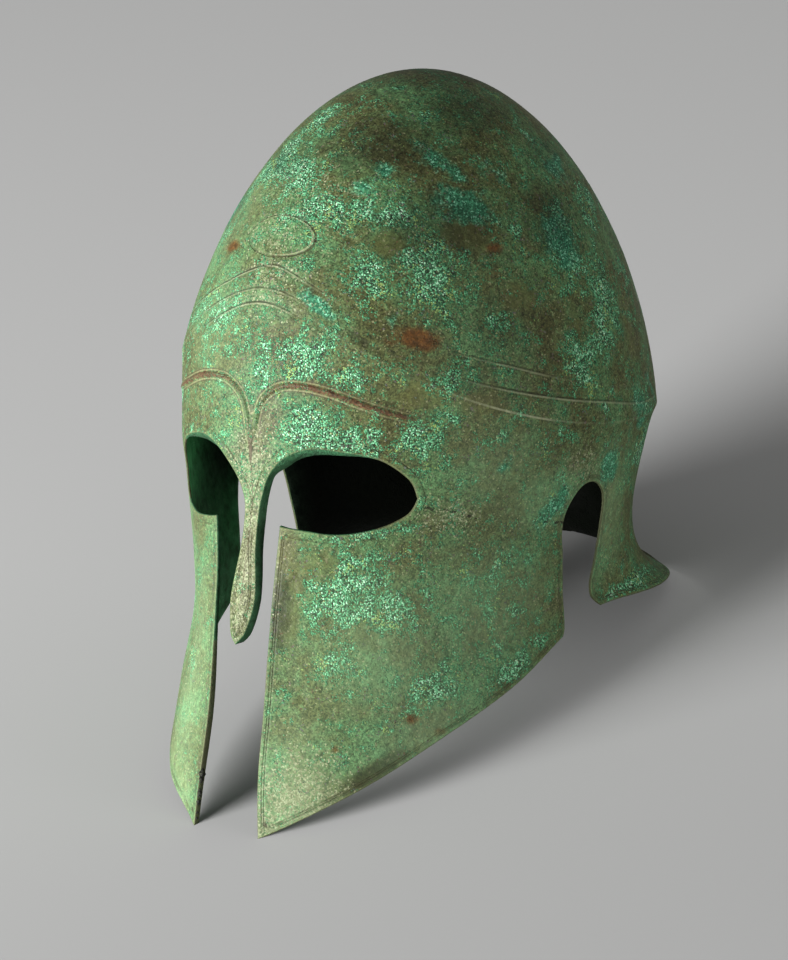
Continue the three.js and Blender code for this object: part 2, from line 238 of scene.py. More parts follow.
def side_angles(back, z, side):
    """Angles of the outer face's points at a distance behind the axis, on one side."""
    angle = np.full(len(z), 90.0 * side)
    for _ in range(SOLVE_ROUNDS):
        p = outer_points(angle, z)
        angle = angle + side * np.degrees((back - p[:, 1]) / np.hypot(p[:, 0], p[:, 1]))
    return angle


def spaced(line, step):
    """The same line with its points an even distance apart on the sheet; its ends stay."""
    p = outer_points(*line.T)
    run = np.concatenate([[0], np.cumsum(np.linalg.norm(np.diff(p, axis=0), axis=1))])
    at = np.linspace(0, run[-1], max(2, int(round(run[-1] / step)) + 1))
    return np.stack([np.interp(at, run, line[:, 0]), np.interp(at, run, line[:, 1])], -1)


def half_edge(step, name):
    """The cut edge of one side, from the nose guard's tip to the middle of the neck rim."""
    side = SIDES[name]
    eye, front = EYE_TOP[name], CHEEK_FRONT[name]
    runs = []
    for drawn in (NOSE_EDGE + eye, eye[-1:] + EYE_BOTTOM[name] + front[:1], front):
        line = smooth_run(drawn)
        runs.append(np.stack([face_angles(side * line[:, 0], line[:, 1]), line[:, 1]], -1))
    notch = smooth_run(CHEEK_REAR[name] + EAR_ARCH[name] + GUARD_CORNER[name])
    notch = np.stack([side_angles(notch[:, 0], notch[:, 1], side), notch[:, 1]], -1)
    notch = notch[notch[:, 1] > hem_level(notch[:, 0]) + HEM_CLEAR]
    for end in (0, -1):
        notch[end, 1] = hem_level(notch[end, 0])
    tip = runs[-1][-1]
    cheek = np.linspace(tip[0], notch[0, 0], HEM_SAMPLES)
    cheek = np.stack([cheek, hem_level(cheek)], -1)
    rim = np.linspace(notch[-1, 0], 180 * side, HEM_SAMPLES)
    rim = np.stack([rim, hem_level(rim)], -1)
    runs[-1] = np.vstack([runs[-1][:-1], cheek[:1]])
    return np.vstack([spaced(run, step)[:-1] for run in (*runs, cheek, notch, rim)] + [rim[-1:]])


def whole_edge(step):
    """The cut edge from the back over the right side, the face and the left side to the back again."""
    return np.vstack([half_edge(step, "right")[:0:-1], half_edge(step, "left")])


edge = whole_edge(EDGE_STEP)
edge_points = outer_points(*edge.T)
edge_normals = outward(*edge.T)
edge_run = np.roll(edge_points[:-1], -1, axis=0) - np.roll(edge_points[:-1], 1, axis=0)
edge_run = np.vstack([edge_run, edge_run[:1]])
edge_run /= np.linalg.norm(edge_run, axis=1, keepdims=True)
edge_outward = wall_outward(*edge.T)
edge_inward = np.cross(edge_normals, edge_run)
edge_inward /= np.linalg.norm(edge_inward, axis=1, keepdims=True)

# The raised and cut lines: a bead over each brow that runs down the nose guard, hammered up from inside,
# chased lines that follow the crease round the crown, and a badge, an oval ring over a small square.
# The mesh has rows of points along the beads and the chased lines.
BROW_LINE = [
    (0.4, -46), (0.4, -5), (0.55, 12), (1.4, 21), (3.4, 31), (7.4, 37), (16, 40.8), (30, 39.3), (46, 33),
    (67, 24.5),
]
BROW_TURN = 20
BROW_CLEAR = 0.25
BROW_BEAD = {"half_width": 1.5, "height": 1.0, "taper": 0.2, "nose": 0.45, "low": 8.0, "high": 30.0}
BROW_ROWS = (0.0, 0.7, -0.7, 1.4, -1.4, 2.1, -2.1)
MIDDLE_LINE = np.array([(0, 1.9), (8, 2.4), (30, 5), (58, 8), (75, 8.8), (96, 8.4), (121, 5.6), (180, 5)])
UPPER_LINE = np.array([
    (0, 10.6), (6, 9.9), (12, 10.2), (30, 13), (57, 17.6), (75, 17.2), (110, 14), (180, 12),
])
LOWER_LINE = {"drop": 3.4, "from": -17.0, "to": 9.0, "step": 0.6}
LOWER_ROWS = (0.0, 0.8, -0.8)
CHASED = {"half_width": 0.55, "depth": 0.38}
BADGE = {
    "angle": -1.5, "level": 96.0, "half_width": 16.6, "half_height": 9.0, "width": 0.75, "depth": 0.3,
    "drawn_radius": 12.0, "worn": -6.0, "whole": 9.0, "least": 0.4,
}
BADGE_SQUARE = {"right": 0.5, "below": 11.4, "half": 2.1}
# Each row of the wear and painted highlight: angle, and how much is left of the crease, middle, upper and
# lower line.
# The crease is drawn only as a painted highlight, so its column sets how strongly that highlight shows.
LINE_WEAR_AND_HIGHLIGHT = np.array([
    (-180, 0.3, 0.3, 0.3, 0.0), (-100, 0.3, 0.5, 0.2, 0.0), (-60, 0.4, 0.4, 0.3, 0.0),
    (-32, 0.3, 0.4, 0.6, 0.0),
    (-20, 0.2, 0.6, 0.9, 0.0), (-14, 0.2, 0.8, 1.0, 0.7), (0, 0.2, 0.8, 0.9, 1.0), (5, 0.1, 0.5, 0.8, 0.7),
    (10, 0.1, 0.15, 0.4, 0.0), (18, 0.1, 0.1, 0.1, 0.0), (42, 0.2, 0.1, 0.05, 0.0), (51, 0.9, 0.4, 0.4, 0.0),
    (58, 1.0, 0.9, 0.8, 0.0), (70, 1.0, 1.0, 0.7, 0.0), (77, 0.5, 0.9, 0.2, 0.0), (92, 0.2, 0.8, 0.1, 0.0),
    (110, 0.2, 0.5, 0.1, 0.0), (145, 0.4, 0.4, 0.2, 0.0), (180, 0.3, 0.3, 0.3, 0.0),
])
LINES = ("crease", "middle", "upper", "lower")
SHEET_STEP = 1.45
SHEET_ROWS = 128
INSIDE_STEP = 2.5
INSIDE_ROWS = 46
CREASE_LENGTH = 640
SKIRT_SPAN = (-150, 76)
ROW_SHARE = 0.86
FLARED = {"angle": 112, "height": 19, "radius": 105, "top": 20, "samples": 400}
CLEAR = {"crease": 0.6, "lines": 0.75, "border": 0.62}
FAR = 99.0
EDGE_ROUND = 0.5
THIN_EDGE = {"less": 0.55, "thick": 2.8}
EYE_BEVEL = {"width": 2.8, "low": 2.0, "high": 12.0, "full": 10.0, "end": 29.0}
FLAT_SCALE = 100.0


def brow_path():
    """The left brow bead's line as angles and levels."""
    line = smooth_run(BROW_LINE)
    return spaced(np.stack([face_angles(line[:, 0], line[:, 1]), line[:, 1]], -1), EDGE_STEP)


def side_rows(path, offsets):
    """Rows of points beside a line on the sheet, at distances from it in millimetres."""
    radius = np.hypot(*outer_points(*path.T)[:, :2].T)
    run = np.gradient(path, axis=0) * np.stack([np.radians(radius), np.ones(len(path))], -1)
    run /= np.linalg.norm(run, axis=1, keepdims=True)
    rows = [path + off * np.stack([-run[:, 1] / np.radians(radius), run[:, 0]], -1) for off in offsets]
    return np.vstack(rows)


def near_tree(points):
    tree = KDTree(len(points))
    for i, p in enumerate(points):
        tree.insert(p, i)
    tree.balance()
    return tree


def gaps_to(tree, points):
    return np.array([tree.find(p)[2] for p in points])


def within(points, loop):
    """Which flat points lie inside a closed flat loop."""
    x, y = points.T
    hit = np.zeros(len(points), bool)
    for (ax, ay), (bx, by) in zip(loop, np.roll(loop, -1, axis=0)):
        if ay != by:
            hit ^= ((ay > y) != (by > y)) & (x < (bx - ax) * (y - ay) / (by - ay) + ax)
    return hit


def crown_level(row, rows, angle):
    """Level of one row of the crown's points: through crease and chased lines, then evenly to the top."""
    crease = crease_level(angle)
    lean = np.abs(angle)
    middle = crease + table_values(MIDDLE_LINE, lean)[1]
    upper = crease + table_values(UPPER_LINE, lean)[1]
    groove = CHASED["half_width"]
    band = upper - middle - 2 * groove
    banded = [middle + groove + share * band for share in (0, 0.2, 0.4, 0.6, 0.8, 1)]
    below = [crease + share * (middle - groove - crease) for share in (0, 0.33, 0.66, 1)]
    lower_rows = [*below, middle, *banded, upper, upper + groove]
    if row < len(lower_rows):
        return lower_rows[row]
    start = np.arcsin((upper + groove) / CROWN["height"])
    share = (row - len(lower_rows) + 1) / (rows - len(lower_rows) + 1)
    return CROWN["height"] * np.sin(start + share * (math.pi / 2 - start))


def plain_level(row, rows, angle):
    """Level of one row of the crown's points on the inside, where the chased lines don't show."""
    start = np.arcsin(crease_level(angle) / CROWN["height"])
    return CROWN["height"] * np.sin(start + row / rows * (math.pi / 2 - start))


def flat_picture(line):
    """The skirt's points on a plane, with the crease as the outer ring and the cut edge inside it."""
    reach = np.exp(line[:, 1] / FLAT_SCALE)
    turn = np.radians(line[:, 0])
    return np.stack([reach * np.sin(turn), -reach * np.cos(turn)], -1)


def flare_levels(step):
    """Heights above the neck rim that are evenly spaced along the flared sheet."""
    height = np.linspace(0, FLARED["top"], FLARED["samples"])
    slope = NECK_FLARE["out"] / NECK_FLARE["height"] * np.exp(-height / NECK_FLARE["height"])
    run = np.concatenate([[0], np.cumsum(np.hypot(1, slope[1:]) * np.diff(height))])
    return np.interp(np.arange(step, run[-1], step), run, height)


def skirt_points(step, border, extra):
    """Points spread over the skirt inside its border, at about one distance from each other."""
    rows = []
    for k, z in enumerate(np.arange(*SKIRT_SPAN, step * ROW_SHARE)):
        turn = np.arange(-180, 180, np.degrees(step / TYPICAL_RADIUS))
        turn = turn + (k % 2) * np.degrees(step / (2 * TYPICAL_RADIUS))
        rows.append(np.stack([turn, np.full(len(turn), z)], -1))
    spread = np.vstack(rows)
    low = spread[:, 1] < hem_level(spread[:, 0]) + FLARED["height"]
    flared = (np.abs(spread[:, 0]) > FLARED["angle"]) & low
    rows = [spread[~flared]]
    for k, height in enumerate(flare_levels(step)):
        turn = np.arange(FLARED["angle"], 180, np.degrees(step / FLARED["radius"]))
        turn = turn + (k % 2) * np.degrees(step / (2 * FLARED["radius"]))
        turn = np.concatenate([turn, -turn])
        rows.append(np.stack([turn, hem_level(turn) + height], -1))
    spread = np.vstack(rows)
    spread = spread[spread[:, 1] < crease_level(spread[:, 0]) - CLEAR["crease"] * step]
    closed = np.vstack([border, [(180, 200), (-180, 200)]])
    spread = spread[within(spread, closed)]
    if len(extra):
        extra_tree = near_tree(outer_points(*extra.T))
        spread = spread[gaps_to(extra_tree, outer_points(*spread.T)) > CLEAR["lines"] * step]
        spread = np.vstack([spread, extra])
    border_tree = near_tree(outer_points(*border.T))
    return spread[gaps_to(border_tree, outer_points(*spread.T)) > CLEAR["border"] * step]


def sheet_mesh(step, level, row_count, border, extra=()):
    """Angles, levels and triangles of one face of the sheet; the border's points come first."""
    ring_size = int(round(CREASE_LENGTH / step))
    turn = -180 + 360 * np.arange(ring_size) / ring_size
    ring = np.stack([turn, crease_level(turn)], -1)
    loop = border[:-1]
    inner = skirt_points(step, border, extra)
    points = [np.vstack([loop, ring, inner])]
    flat = flat_picture(points[0])
    ring_at = len(loop)
    chains = []
    for first, size in ((0, len(loop)), (ring_at, ring_size)):
        chains += [(first + i, first + (i + 1) % size) for i in range(size)]
    made = delaunay_2d_cdt([Vector(p) for p in flat.tolist()], chains, [], 0, TINY, False)
    if len(made[0]) != len(flat):
        raise ValueError("the sheet's points met each other")
    tris = np.array(made[2])
    on_border = (tris < ring_at + ring_size).all(axis=1)
    middle = flat[tris].mean(axis=1)
    fits = ~on_border
    bordering = middle[on_border]
    in_ring = within(bordering, flat[ring_at:ring_at + ring_size])
    fits[on_border] = in_ring & ~within(bordering, flat[:ring_at])
    tris = tris[fits]
    a, b, c = (flat[tris[:, k]] for k in range(3))
    flipped = np.cross(b - a, c - a) > 0
    tris[flipped] = tris[flipped][:, ::-1]
    faces = [tris]
    total = len(flat)
    lower = np.arange(ring_at, ring_at + ring_size)
    lower_turn = turn
    for row in range(1, row_count):
        widest = np.abs(crown_radius(np.array([0, 90]), level(row, row_count, np.array([0.0, 90.0])))).mean()
        size = max(6, int(round(2 * math.pi * widest / step)))
        row_turn = -180 + 360 * (np.arange(size) + 0.5 * (row % 2)) / size
        points.append(np.stack([row_turn, level(row, row_count, row_turn)], -1))
        upper = np.arange(total, total + size)
        faces.append(zipped(lower, lower_turn, upper, row_turn))
        lower, lower_turn = upper, row_turn
        total += size
    points.append(np.array([(0.0, CROWN["height"])]))
    faces.append(np.stack([lower, np.roll(lower, -1), np.full(len(lower), total)], -1))
    return np.vstack(points), np.vstack(faces)


def zipped(lower, lower_turn, upper, upper_turn):
    """Triangles between two rings of points that run the same way round."""
    i = j = 0
    tris = []
    while i < len(lower) or j < len(upper):
        next_low = lower_turn[(i + 1) % len(lower)] + 360 * ((i + 1) // len(lower))
        next_up = upper_turn[(j + 1) % len(upper)] + 360 * ((j + 1) // len(upper))
        a, b = lower[i % len(lower)], upper[j % len(upper)]
        if j >= len(upper) or (i < len(lower) and next_low <= next_up):
            tris.append((a, lower[(i + 1) % len(lower)], b))
            i += 1
        else:
            tris.append((a, upper[(j + 1) % len(upper)], b))
            j += 1
    return np.array(tris)


left_brow = brow_path()
brow_rows = side_rows(left_brow[left_brow[:, 1] > BROW_TURN], BROW_ROWS)
nose_rows = side_rows(left_brow[left_brow[:, 1] <= BROW_TURN], BROW_ROWS[:2] + BROW_ROWS[3::2])
brow_rows = np.vstack([brow_rows, nose_rows])
brow_rows = brow_rows[brow_rows[:, 0] > BROW_CLEAR]
brow_rows = np.vstack([brow_rows, brow_rows * (-1, 1)])
lower_turn = np.arange(LOWER_LINE["from"], LOWER_LINE["to"], LOWER_LINE["step"])
lower_path = np.stack([lower_turn, crease_level(lower_turn) - LOWER_LINE["drop"]], -1)
badge_at = outer_points(BADGE["angle"], BADGE["level"])
badge_facing = outward(np.array([BADGE["angle"]]), np.array([BADGE["level"]]))[0]
badge_across = np.cross((0, 0, 1), badge_facing)
badge_across /= np.linalg.norm(badge_across)
badge_up = np.cross(badge_facing, badge_across)
line_rows = np.vstack([brow_rows, side_rows(lower_path, LOWER_ROWS)])
inset = edge_points + EDGE_ROUND * edge_inward
inset_line = np.stack([np.degrees(np.arctan2(inset[:, 0], -inset[:, 1])), inset[:, 2]], -1)
inset_line[0, 0], inset_line[-1, 0] = -180, 180
outside, outside_faces = sheet_mesh(SHEET_STEP, crown_level, SHEET_ROWS, inset_line, line_rows)
lining, lining_faces = sheet_mesh(INSIDE_STEP, plain_level, INSIDE_ROWS, inset_line)

# The finished shell: outer face, rounded cut edge and inner face joined in one closed skin. It stands as it
# would by itself, tipped back on the rim of the neck guard with both cheek points on the floor.
STAND = {"flat": 0.4, "point_angle": 7.1, "rim_angle": 155.0}
BROW_DOTS = 0.3
FINE_EDGE = 0.35
BEVEL_START = 0.1
EYE_REACH = 60
MILLIMETRE = 0.001

cheek_point = outer_points(STAND["point_angle"], hem_level(np.array(STAND["point_angle"])))
rim_point = outer_points(STAND["rim_angle"], hem_level(np.array(STAND["rim_angle"])))
tip = math.atan2(rim_point[2] - cheek_point[2], rim_point[1] - cheek_point[1])
tip_turn = np.array(Matrix.Rotation(-tip, 3, "X"))

outside_normals = outward(*outside.T)
outside_normals[-1] = (0, 0, 1)
lining_normals = wall_outward(*lining.T)
lining_normals[-1] = (0, 0, 1)
outside_points = outer_points(*outside.T)
outside_points[-1] = (0, 0, CROWN["height"])
lining_points = outer_points(*lining.T)
lining_points[-1] = (0, 0, CROWN["height"])

dense_brow = spaced(left_brow, BROW_DOTS)
brow_spots = np.vstack([outer_points(*dense_brow.T), outer_points(*(dense_brow * (-1, 1)).T)])
brow_tree = near_tree(brow_spots)
brow_near = [brow_tree.find(p) for p in outside_points]
brow_gap = np.array([found[2] for found in brow_near])
brow_run = np.array([found[1] % len(dense_brow) for found in brow_near]) / len(dense_brow)
brow_swell = np.clip(1 - (brow_gap / BROW_BEAD["half_width"]) ** 2, 0, 1) ** 2
brow_swell = brow_swell * np.clip((1 - brow_run) / BROW_BEAD["taper"], 0, 1)
full_bead = smoothstep(outside[:, 1], BROW_BEAD["low"], BROW_BEAD["high"])
brow_swell = brow_swell * (BROW_BEAD["nose"] + (1 - BROW_BEAD["nose"]) * full_bead)

lean = np.abs(outside[:, 0])
slant = 1 / np.sqrt(np.clip(1 - outside_normals[:, 2] ** 2, 0.02, 1))
crease_gap = (outside[:, 1] - crease_level(outside[:, 0])) * slant
line_gaps = {
    "crease": crease_gap,
    "middle": crease_gap - table_values(MIDDLE_LINE, lean)[1] * slant,
    "upper": crease_gap - table_values(UPPER_LINE, lean)[1] * slant,
    "lower": crease_gap + LOWER_LINE["drop"] * slant,
}
line_wear_and_highlight = dict(zip(LINES, table_values(LINE_WEAR_AND_HIGHLIGHT, outside[:, 0])[1:]))
chased = 0
for name in LINES[1:]:
    chased = chased + line_wear_and_highlight[name] * np.exp(-(line_gaps[name] / CHASED["half_width"]) ** 2)
badge_away = outside_points - badge_at
in_front = outside_points[:, 1] < 0
badge_aside = np.where(in_front, badge_away @ badge_across, FAR)
badge_above = np.where(in_front, badge_away @ badge_up, FAR)
ring_gap = np.hypot(badge_aside / BADGE["half_width"], badge_above / BADGE["half_height"]) - 1
ring_gap = ring_gap * math.sqrt(BADGE["half_width"] * BADGE["half_height"])
ring_left = BADGE["least"] + (1 - BADGE["least"]) * smoothstep(badge_aside, BADGE["worn"], BADGE["whole"])
ring_cut = np.exp(-(ring_gap / BADGE["width"]) ** 2) * ring_left
relief = BROW_BEAD["height"] * brow_swell - CHASED["depth"] * chased - BADGE["depth"] * ring_cut
outside_points = outside_points + outside_normals * relief[:, None]

wall = wall_thickness(*lining.T)
edge_wall = wall_thickness(*edge.T)[:-1]
edge_wall = edge_wall - THIN_EDGE["less"] * (1 - smoothstep(edge_wall, WALL["sheet"], THIN_EDGE["thick"]))
wall[:len(edge_wall)] = edge_wall
lining_points = lining_points - lining_normals * wall[:, None]
edge_wall = edge_wall[:, None]
corner = EDGE_ROUND * (1 - math.sqrt(0.5))
rounded = []
arch = smoothstep(edge[:-1, 1], EYE_BEVEL["low"], EYE_BEVEL["high"])
arch = arch * (1 - smoothstep(np.abs(edge[:-1, 0]), EYE_BEVEL["full"], EYE_BEVEL["end"]))
bevel = EYE_BEVEL["width"] * (arch * (np.abs(edge[:-1, 0]) < EYE_REACH))[:, None]
edge_profile = (
    (corner, corner), (-bevel * BEVEL_START, EDGE_ROUND),
    (-bevel, edge_wall - EDGE_ROUND), (corner - bevel, edge_wall - corner),
)
for inward, depth in edge_profile:
    rounded.append(edge_points[:-1] + inward * edge_inward[:-1] - depth * edge_outward[:-1])

edge_size = len(edge) - 1
lining_at = len(outside) + edge_size * len(rounded)
loops = [np.arange(edge_size)]
loops += [len(outside) + k * edge_size + np.arange(edge_size) for k in range(len(rounded))]
loops += [lining_at + np.arange(edge_size)]
edge_faces = []
for upper, lower in zip(loops, loops[1:]):
    edge_faces.append(np.stack([upper, lower, np.roll(lower, -1)], -1))
    edge_faces.append(np.stack([upper, np.roll(lower, -1), np.roll(upper, -1)], -1))
shell_points = np.vstack([outside_points, *rounded, lining_points])
shell_faces = np.vstack([outside_faces, *edge_faces, lining_faces[:, ::-1] + lining_at])


def at_rest(points):
    """Worn points in millimetres as points in metres, with the helmet standing on the floor."""
    return (np.asarray(points) @ tip_turn.T - stand_origin) * MILLIMETRE


stand_origin = np.zeros(3)
standing = at_rest(shell_points) / MILLIMETRE
floor_level = at_rest(rim_point)[2] / MILLIMETRE + STAND["flat"]
stand_origin = np.array([0, (standing[:, 1].min() + standing[:, 1].max()) / 2, floor_level])
standing = at_rest(shell_points)
standing[:, 2] = np.maximum(standing[:, 2], 0)

shell_mesh = bpy.data.meshes.new("helmet")
shell_mesh.from_pydata(standing.tolist(), [], shell_faces.tolist())
shell_mesh.validate()


def new_object(name, data):
    made = bpy.data.objects.new(name, data)
    bpy.context.scene.collection.objects.link(made)
    return made


def keep(name, at_outside, at_edge=0, at_lining=0):
    """Keeps values of the outer face's points, of the edge and of the inner face for the nodes to read."""
    edge_values = np.tile(np.broadcast_to(at_edge, edge_size), len(rounded))
    outside_values = np.broadcast_to(at_outside, len(outside))
    values = np.concatenate([outside_values, edge_values, np.broadcast_to(at_lining, len(lining))])
    shell_mesh.attributes.new(name, "FLOAT", "POINT").data.foreach_set("value", values.astype(np.float32))


shell = new_object("helmet", shell_mesh)
shell_mesh.shade_smooth()
EYE_RIM = {"lowest": -17.5, "widest": 50.0}
NOSE_RIM = {"lowest": -64.0, "widest": 27.0}
# Painted shade: the lining is darkened further back and higher inside, and made nearly black at the back.
INSIDE_SHADE = {
    "front": -74.0, "back": -30.0, "low": -42.0, "high": -8.0, "half": -22.0, "whole": 15.0,
    "black_from": 0.0, "black": 40.0,
}
fine_edge = whole_edge(FINE_EDGE)
edge_tree = near_tree(outer_points(*fine_edge.T))
edge_near = [edge_tree.find(p) for p in outside_points]
nearest_edge = fine_edge[[found[1] for found in edge_near]]
eye_rim = (nearest_edge[:, 1] > EYE_RIM["lowest"]) & (np.abs(nearest_edge[:, 0]) < EYE_RIM["widest"])
keep("outer", 1, 1)
keep("cut_edge", 0, 1)
nose_edge = (np.abs(edge[:-1, 0]) < NOSE_RIM["widest"]) & (edge[:-1, 1] > NOSE_RIM["lowest"])
keep("nose_edge", 0, nose_edge)
keep("rim_gap", [found[2] for found in edge_near], 0, FAR)
keep("eye_rim", eye_rim)
keep("brow_gap", brow_gap, FAR, FAR)
keep("brow_run", brow_run)
keep("badge_across", badge_aside, FAR, FAR)
keep("badge_up", badge_above, FAR, FAR)
for name in LINES:
    keep(name + "_gap", line_gaps[name], FAR, FAR)
    keep(name + "_wear", line_wear_and_highlight[name])
# Painted shade: how far back a point of the lining lies, which darkens it and at the back makes it black.
inside_shade = smoothstep(lining_points[:, 1], INSIDE_SHADE["front"], INSIDE_SHADE["back"])
inside_shade = inside_shade * smoothstep(lining_points[:, 2], INSIDE_SHADE["low"], INSIDE_SHADE["high"])
inside_shade = np.maximum(inside_shade, smoothstep(lining_points[:, 1], INSIDE_SHADE["half"], INSIDE_SHADE["whole"]))
inside_shade = inside_shade + smoothstep(lining_points[:, 1], INSIDE_SHADE["black_from"], INSIDE_SHADE["black"])
keep("deep", 0, 0, inside_shade)

# The patina: what burial made of the bronze. A thin olive film lies over all of it, with granular malachite,
# blue-green crust, red copper oxide and chalky streaks in patches that each have a place on the sheet.
# A patch is a row of angle, level, width, height, turn of its long side in degrees, and strength.
# Dark patches are mostly painted shade and pale ones partly painted light; two malachite rows paint a
# highlight.
PATCHES = {
    "malachite": [
        (21, -42, 28, 28, 0, 1.0), (32, -49, 22, 18, 0, 0.9), (19, -69, 12, 14, 0, 0.8),
        (39, -81, 24, 16, 0, 0.75), (64, -77, 20, 8, 28, 1.0), (75, -69, 9, 7, 40, 0.8),
        (26, -17, 20, 6, 0, 0.7), (13, 26, 24, 18, 0, 0.9), (22, 20, 28, 13, 0, 1.0),
        (37, 20, 18, 15, 0, 0.9), (42, 41, 18, 10, 0, 0.7), (39, 82, 22, 26, 0, 0.9),
        (24, 82, 18, 13, 0, 0.9), (11, 106, 28, 13, 0, 0.9), (-7, 118, 24, 16, 0, 0.9),
        (107, 63, 16, 32, 0, 0.7), (87, 43, 20, 18, 0, 0.8), (11, 53, 22, 16, 0, 0.9),
        (21, 44, 18, 15, 0, 0.7), (60, -45, 34, 50, 0, 0.45), (50, -55, 16, 12, 0, 0.4),
        (77, 13, 18, 10, 0, 0.5), (57, 17, 16, 10, 0, 0.5), (-14, 60, 26, 40, 0, 0.6),
        (30, 104, 14, 10, 0, 0.6), (1, 48, 20, 26, 0, 0.6), (58, 62, 14, 12, 0, 0.5),
        # Painted highlight: the rows at -18 and -23 degrees put bright grains on the crown's edge at the
        # camera's left.
        (95, 78, 18, 20, 0, 0.6), (-18, 136, 22, 11, 82, 1.1), (-23, 119, 32, 13, 76, 1.1),
        (97, 98, 11, 7, -50, 1.1), (96, 22, 6, 4, -46, 1.1), (102, 54, 22, 14, 80, 0.9),
        (87, 39, 20, 15, -72, 0.9), (122, -58, 46, 6, 4, 1.0), (71, 95, 6, 5, -50, 0.9),
        (110, 127, 9, 6, -60, 0.9),
    ],
    "teal": [
        (53, 107, 24, 15, -20, 0.9), (92, 89, 22, 24, 0, 0.8), (13, 72, 17, 6, -35, 1.0),
        (18, 115, 9, 8, 0, 0.7), (25, 121, 10, 8, 0, 0.7), (103, -3, 16, 18, 0, 0.8),
        (59, 6, 9, 5, 30, 0.7), (118, 11, 16, 10, 0, 0.6), (78, -15, 24, 10, 35, 0.8),
        (47, 121, 26, 10, -48, 0.7), (70, 118, 20, 10, -40, 0.5), (30, 66, 10, 8, 0, 0.4),
    ],
    "cuprite": [
        (37, 59, 20, 9, -12, 1.0), (61, 90, 10, 7, 0, 0.8), (61, 82, 9, 8, 0, 0.5), (35, -92, 9, 6, 0, 0.7),
        (20, -102, 4, 4, 0, 0.7), (42, -98, 9, 5, 0, 0.6), (69, 11, 8, 6, 0, 0.35),
        (50, -11, 10, 8, 0, 0.35), (30, 58, 10, 5, -30, 0.5), (62, 3, 5, 4, 0, 0.5),
    ],
    "bare": [
        (29, 94, 18, 13, 0, 0.9), (52, 96, 26, 17, 0, 0.8), (39, 37, 30, 13, 0, 0.9),
        (67, 71, 24, 14, 0, 0.8), (50, 33, 30, 12, -8, 0.8), (88, 60, 12, 30, 0, 0.6),
        (118, 50, 14, 40, 0, 0.7), (112, -30, 30, 40, 0, 0.45), (2, 20, 10, 16, 0, 0.5),
        (45, 60, 14, 8, 0, 0.5), (28, -111, 34, 10, 27, 0.9), (9, -42, 15, 60, 0, 1.0),
        (15, -28, 22, 22, 0, 0.7),
    ],
    # Mostly painted shade: crown top and middle, guard flare, near cheek's front edge; (28, -111) is a real
    # stain.
    "dark": [
        (8, -48, 12, 44, 0, 0.9), (28, -111, 34, 10, 27, 1.0), (75, 139, 60, 34, 0, 0.7),
        (110, 120, 50, 30, 0, 0.6), (24, 58, 26, 6, -38, 0.7), (145, -44, 26, 14, 0, 0.8),
        (130, 60, 30, 90, 0, 0.4), (110, 70, 20, 60, 0, 0.5), (92, 98, 52, 46, 0, 0.75),
        (42, 100, 70, 44, 0, 0.75), (20, 130, 70, 40, 0, 0.8), (60, 60, 50, 40, 0, 0.5),
    ],
    "chalk": [
        (23, 62, 26, 5, -40, 0.46), (0, 68, 9, 5, 0, 0.36), (82, 138, 8, 2.4, -52, 0.7),
        (105, 133, 8, 2.4, -68, 0.7), (108, 127, 8, 3.5, -56, 0.6), (87, 112, 12, 2.4, -60, 0.7),
        (109, 119, 5, 2.6, -70, 0.6), (119, 119, 7, 3.4, -74, 0.6), (83, 21, 18, 9, -38, 0.35),
        (0, 140, 13, 4.4, -19, 0.6), (64, 28, 26, 3, -14, 0.3), (80, 21, 20, 4, -8, 0.4),
        (0, 121, 12, 3, 0, 0.4), (42, 125, 17, 8, -48, 1.2), (51, 119, 12, 2.4, -50, 0.7),
        (61, 111, 12, 2.4, -66, 0.7), (78, -15, 22, 9, 35, 0.34), (100, 12, 14, 8, 0, 0.3),
        (150, 132, 22, 3, -45, 0.5), (36, 4, 8, 12, 0, 0.3),
    ],
    "dusty": [
        (1, 83, 24, 12, 0, 0.45), (14, -122, 28, 30, 0, 0.9), (9, -134, 14, 16, 0, 0.9),
        (0, -30, 18, 60, 0, 0.9), (3, 30, 14, 24, 0, 0.2), (0, 8, 15, 28, 0, 0.75),
        (2, 112, 46, 34, 0, 0.2), (-3, 97, 26, 16, 0, 0.4), (45, -12, 24, 10, 0, 0.5),
        (88, 0, 20, 16, 0, 0.4), (0, 72, 40, 12, 0, 0.3), (-20, -90, 16, 110, 0, 0.12),
    ],
    # Painted light: the pale patches brighten the sheet where light falls, most of all on the cheeks, with a
    # pale bloom.
    "pale": [
        (13, -122, 40, 60, 0, 1.0), (28, -66, 60, 60, 0, 0.8), (56, -52, 56, 56, 0, 0.8),
        (40, -98, 64, 36, 25, 0.9), (-16, -96, 34, 120, 0, 1.0), (-13, -128, 24, 40, 0, 1.0),
        (-30, -60, 40, 80, 0, 0.7), (-16, 62, 40, 60, 0, 0.5), (-28, 98, 44, 60, 0, 0.6),
        (104, -24, 40, 50, 0, 0.9), (66, -48, 36, 44, 0, 0.7), (72, -10, 50, 30, 0, 0.8),
        (58, 4, 44, 34, 0, 0.7),
    ],
}
PATCH_SEED = 11
UNSEEN_PATCHES = {
    "malachite": 26, "teal": 9, "cuprite": 7, "bare": 10, "dark": 5, "chalk": 9, "dusty": 5, "pale": 4,
}
# Lowest and highest angle, level, width, height, turn and strength of the patches at the back.
UNSEEN_RANGE = ((112, 248), (-50, 135), (10, 34), (5, 22), (-50, 50), (0.4, 0.95))
UNSEEN_FLAT = {"chalk": 0.28, "cuprite": 0.5}
UNSEEN_FAINT = {"chalk": 0.7, "cuprite": 0.7}
MIRROR_FAINT = 0.8
MIRROR_SPREAD = {"chalk": 40, "cuprite": 36, "teal": 28, "malachite": 18, "bare": 18}
MIRROR_FRONT = -18
MIRROR_FROM = 16
MIRROR_LOOSE = 9
MIRROR_SIZES = (0.7, 1.4)
PATCH_DEPTH = 18
PATCH_FALL = 0.8

draw = np.random.default_rng(PATCH_SEED)


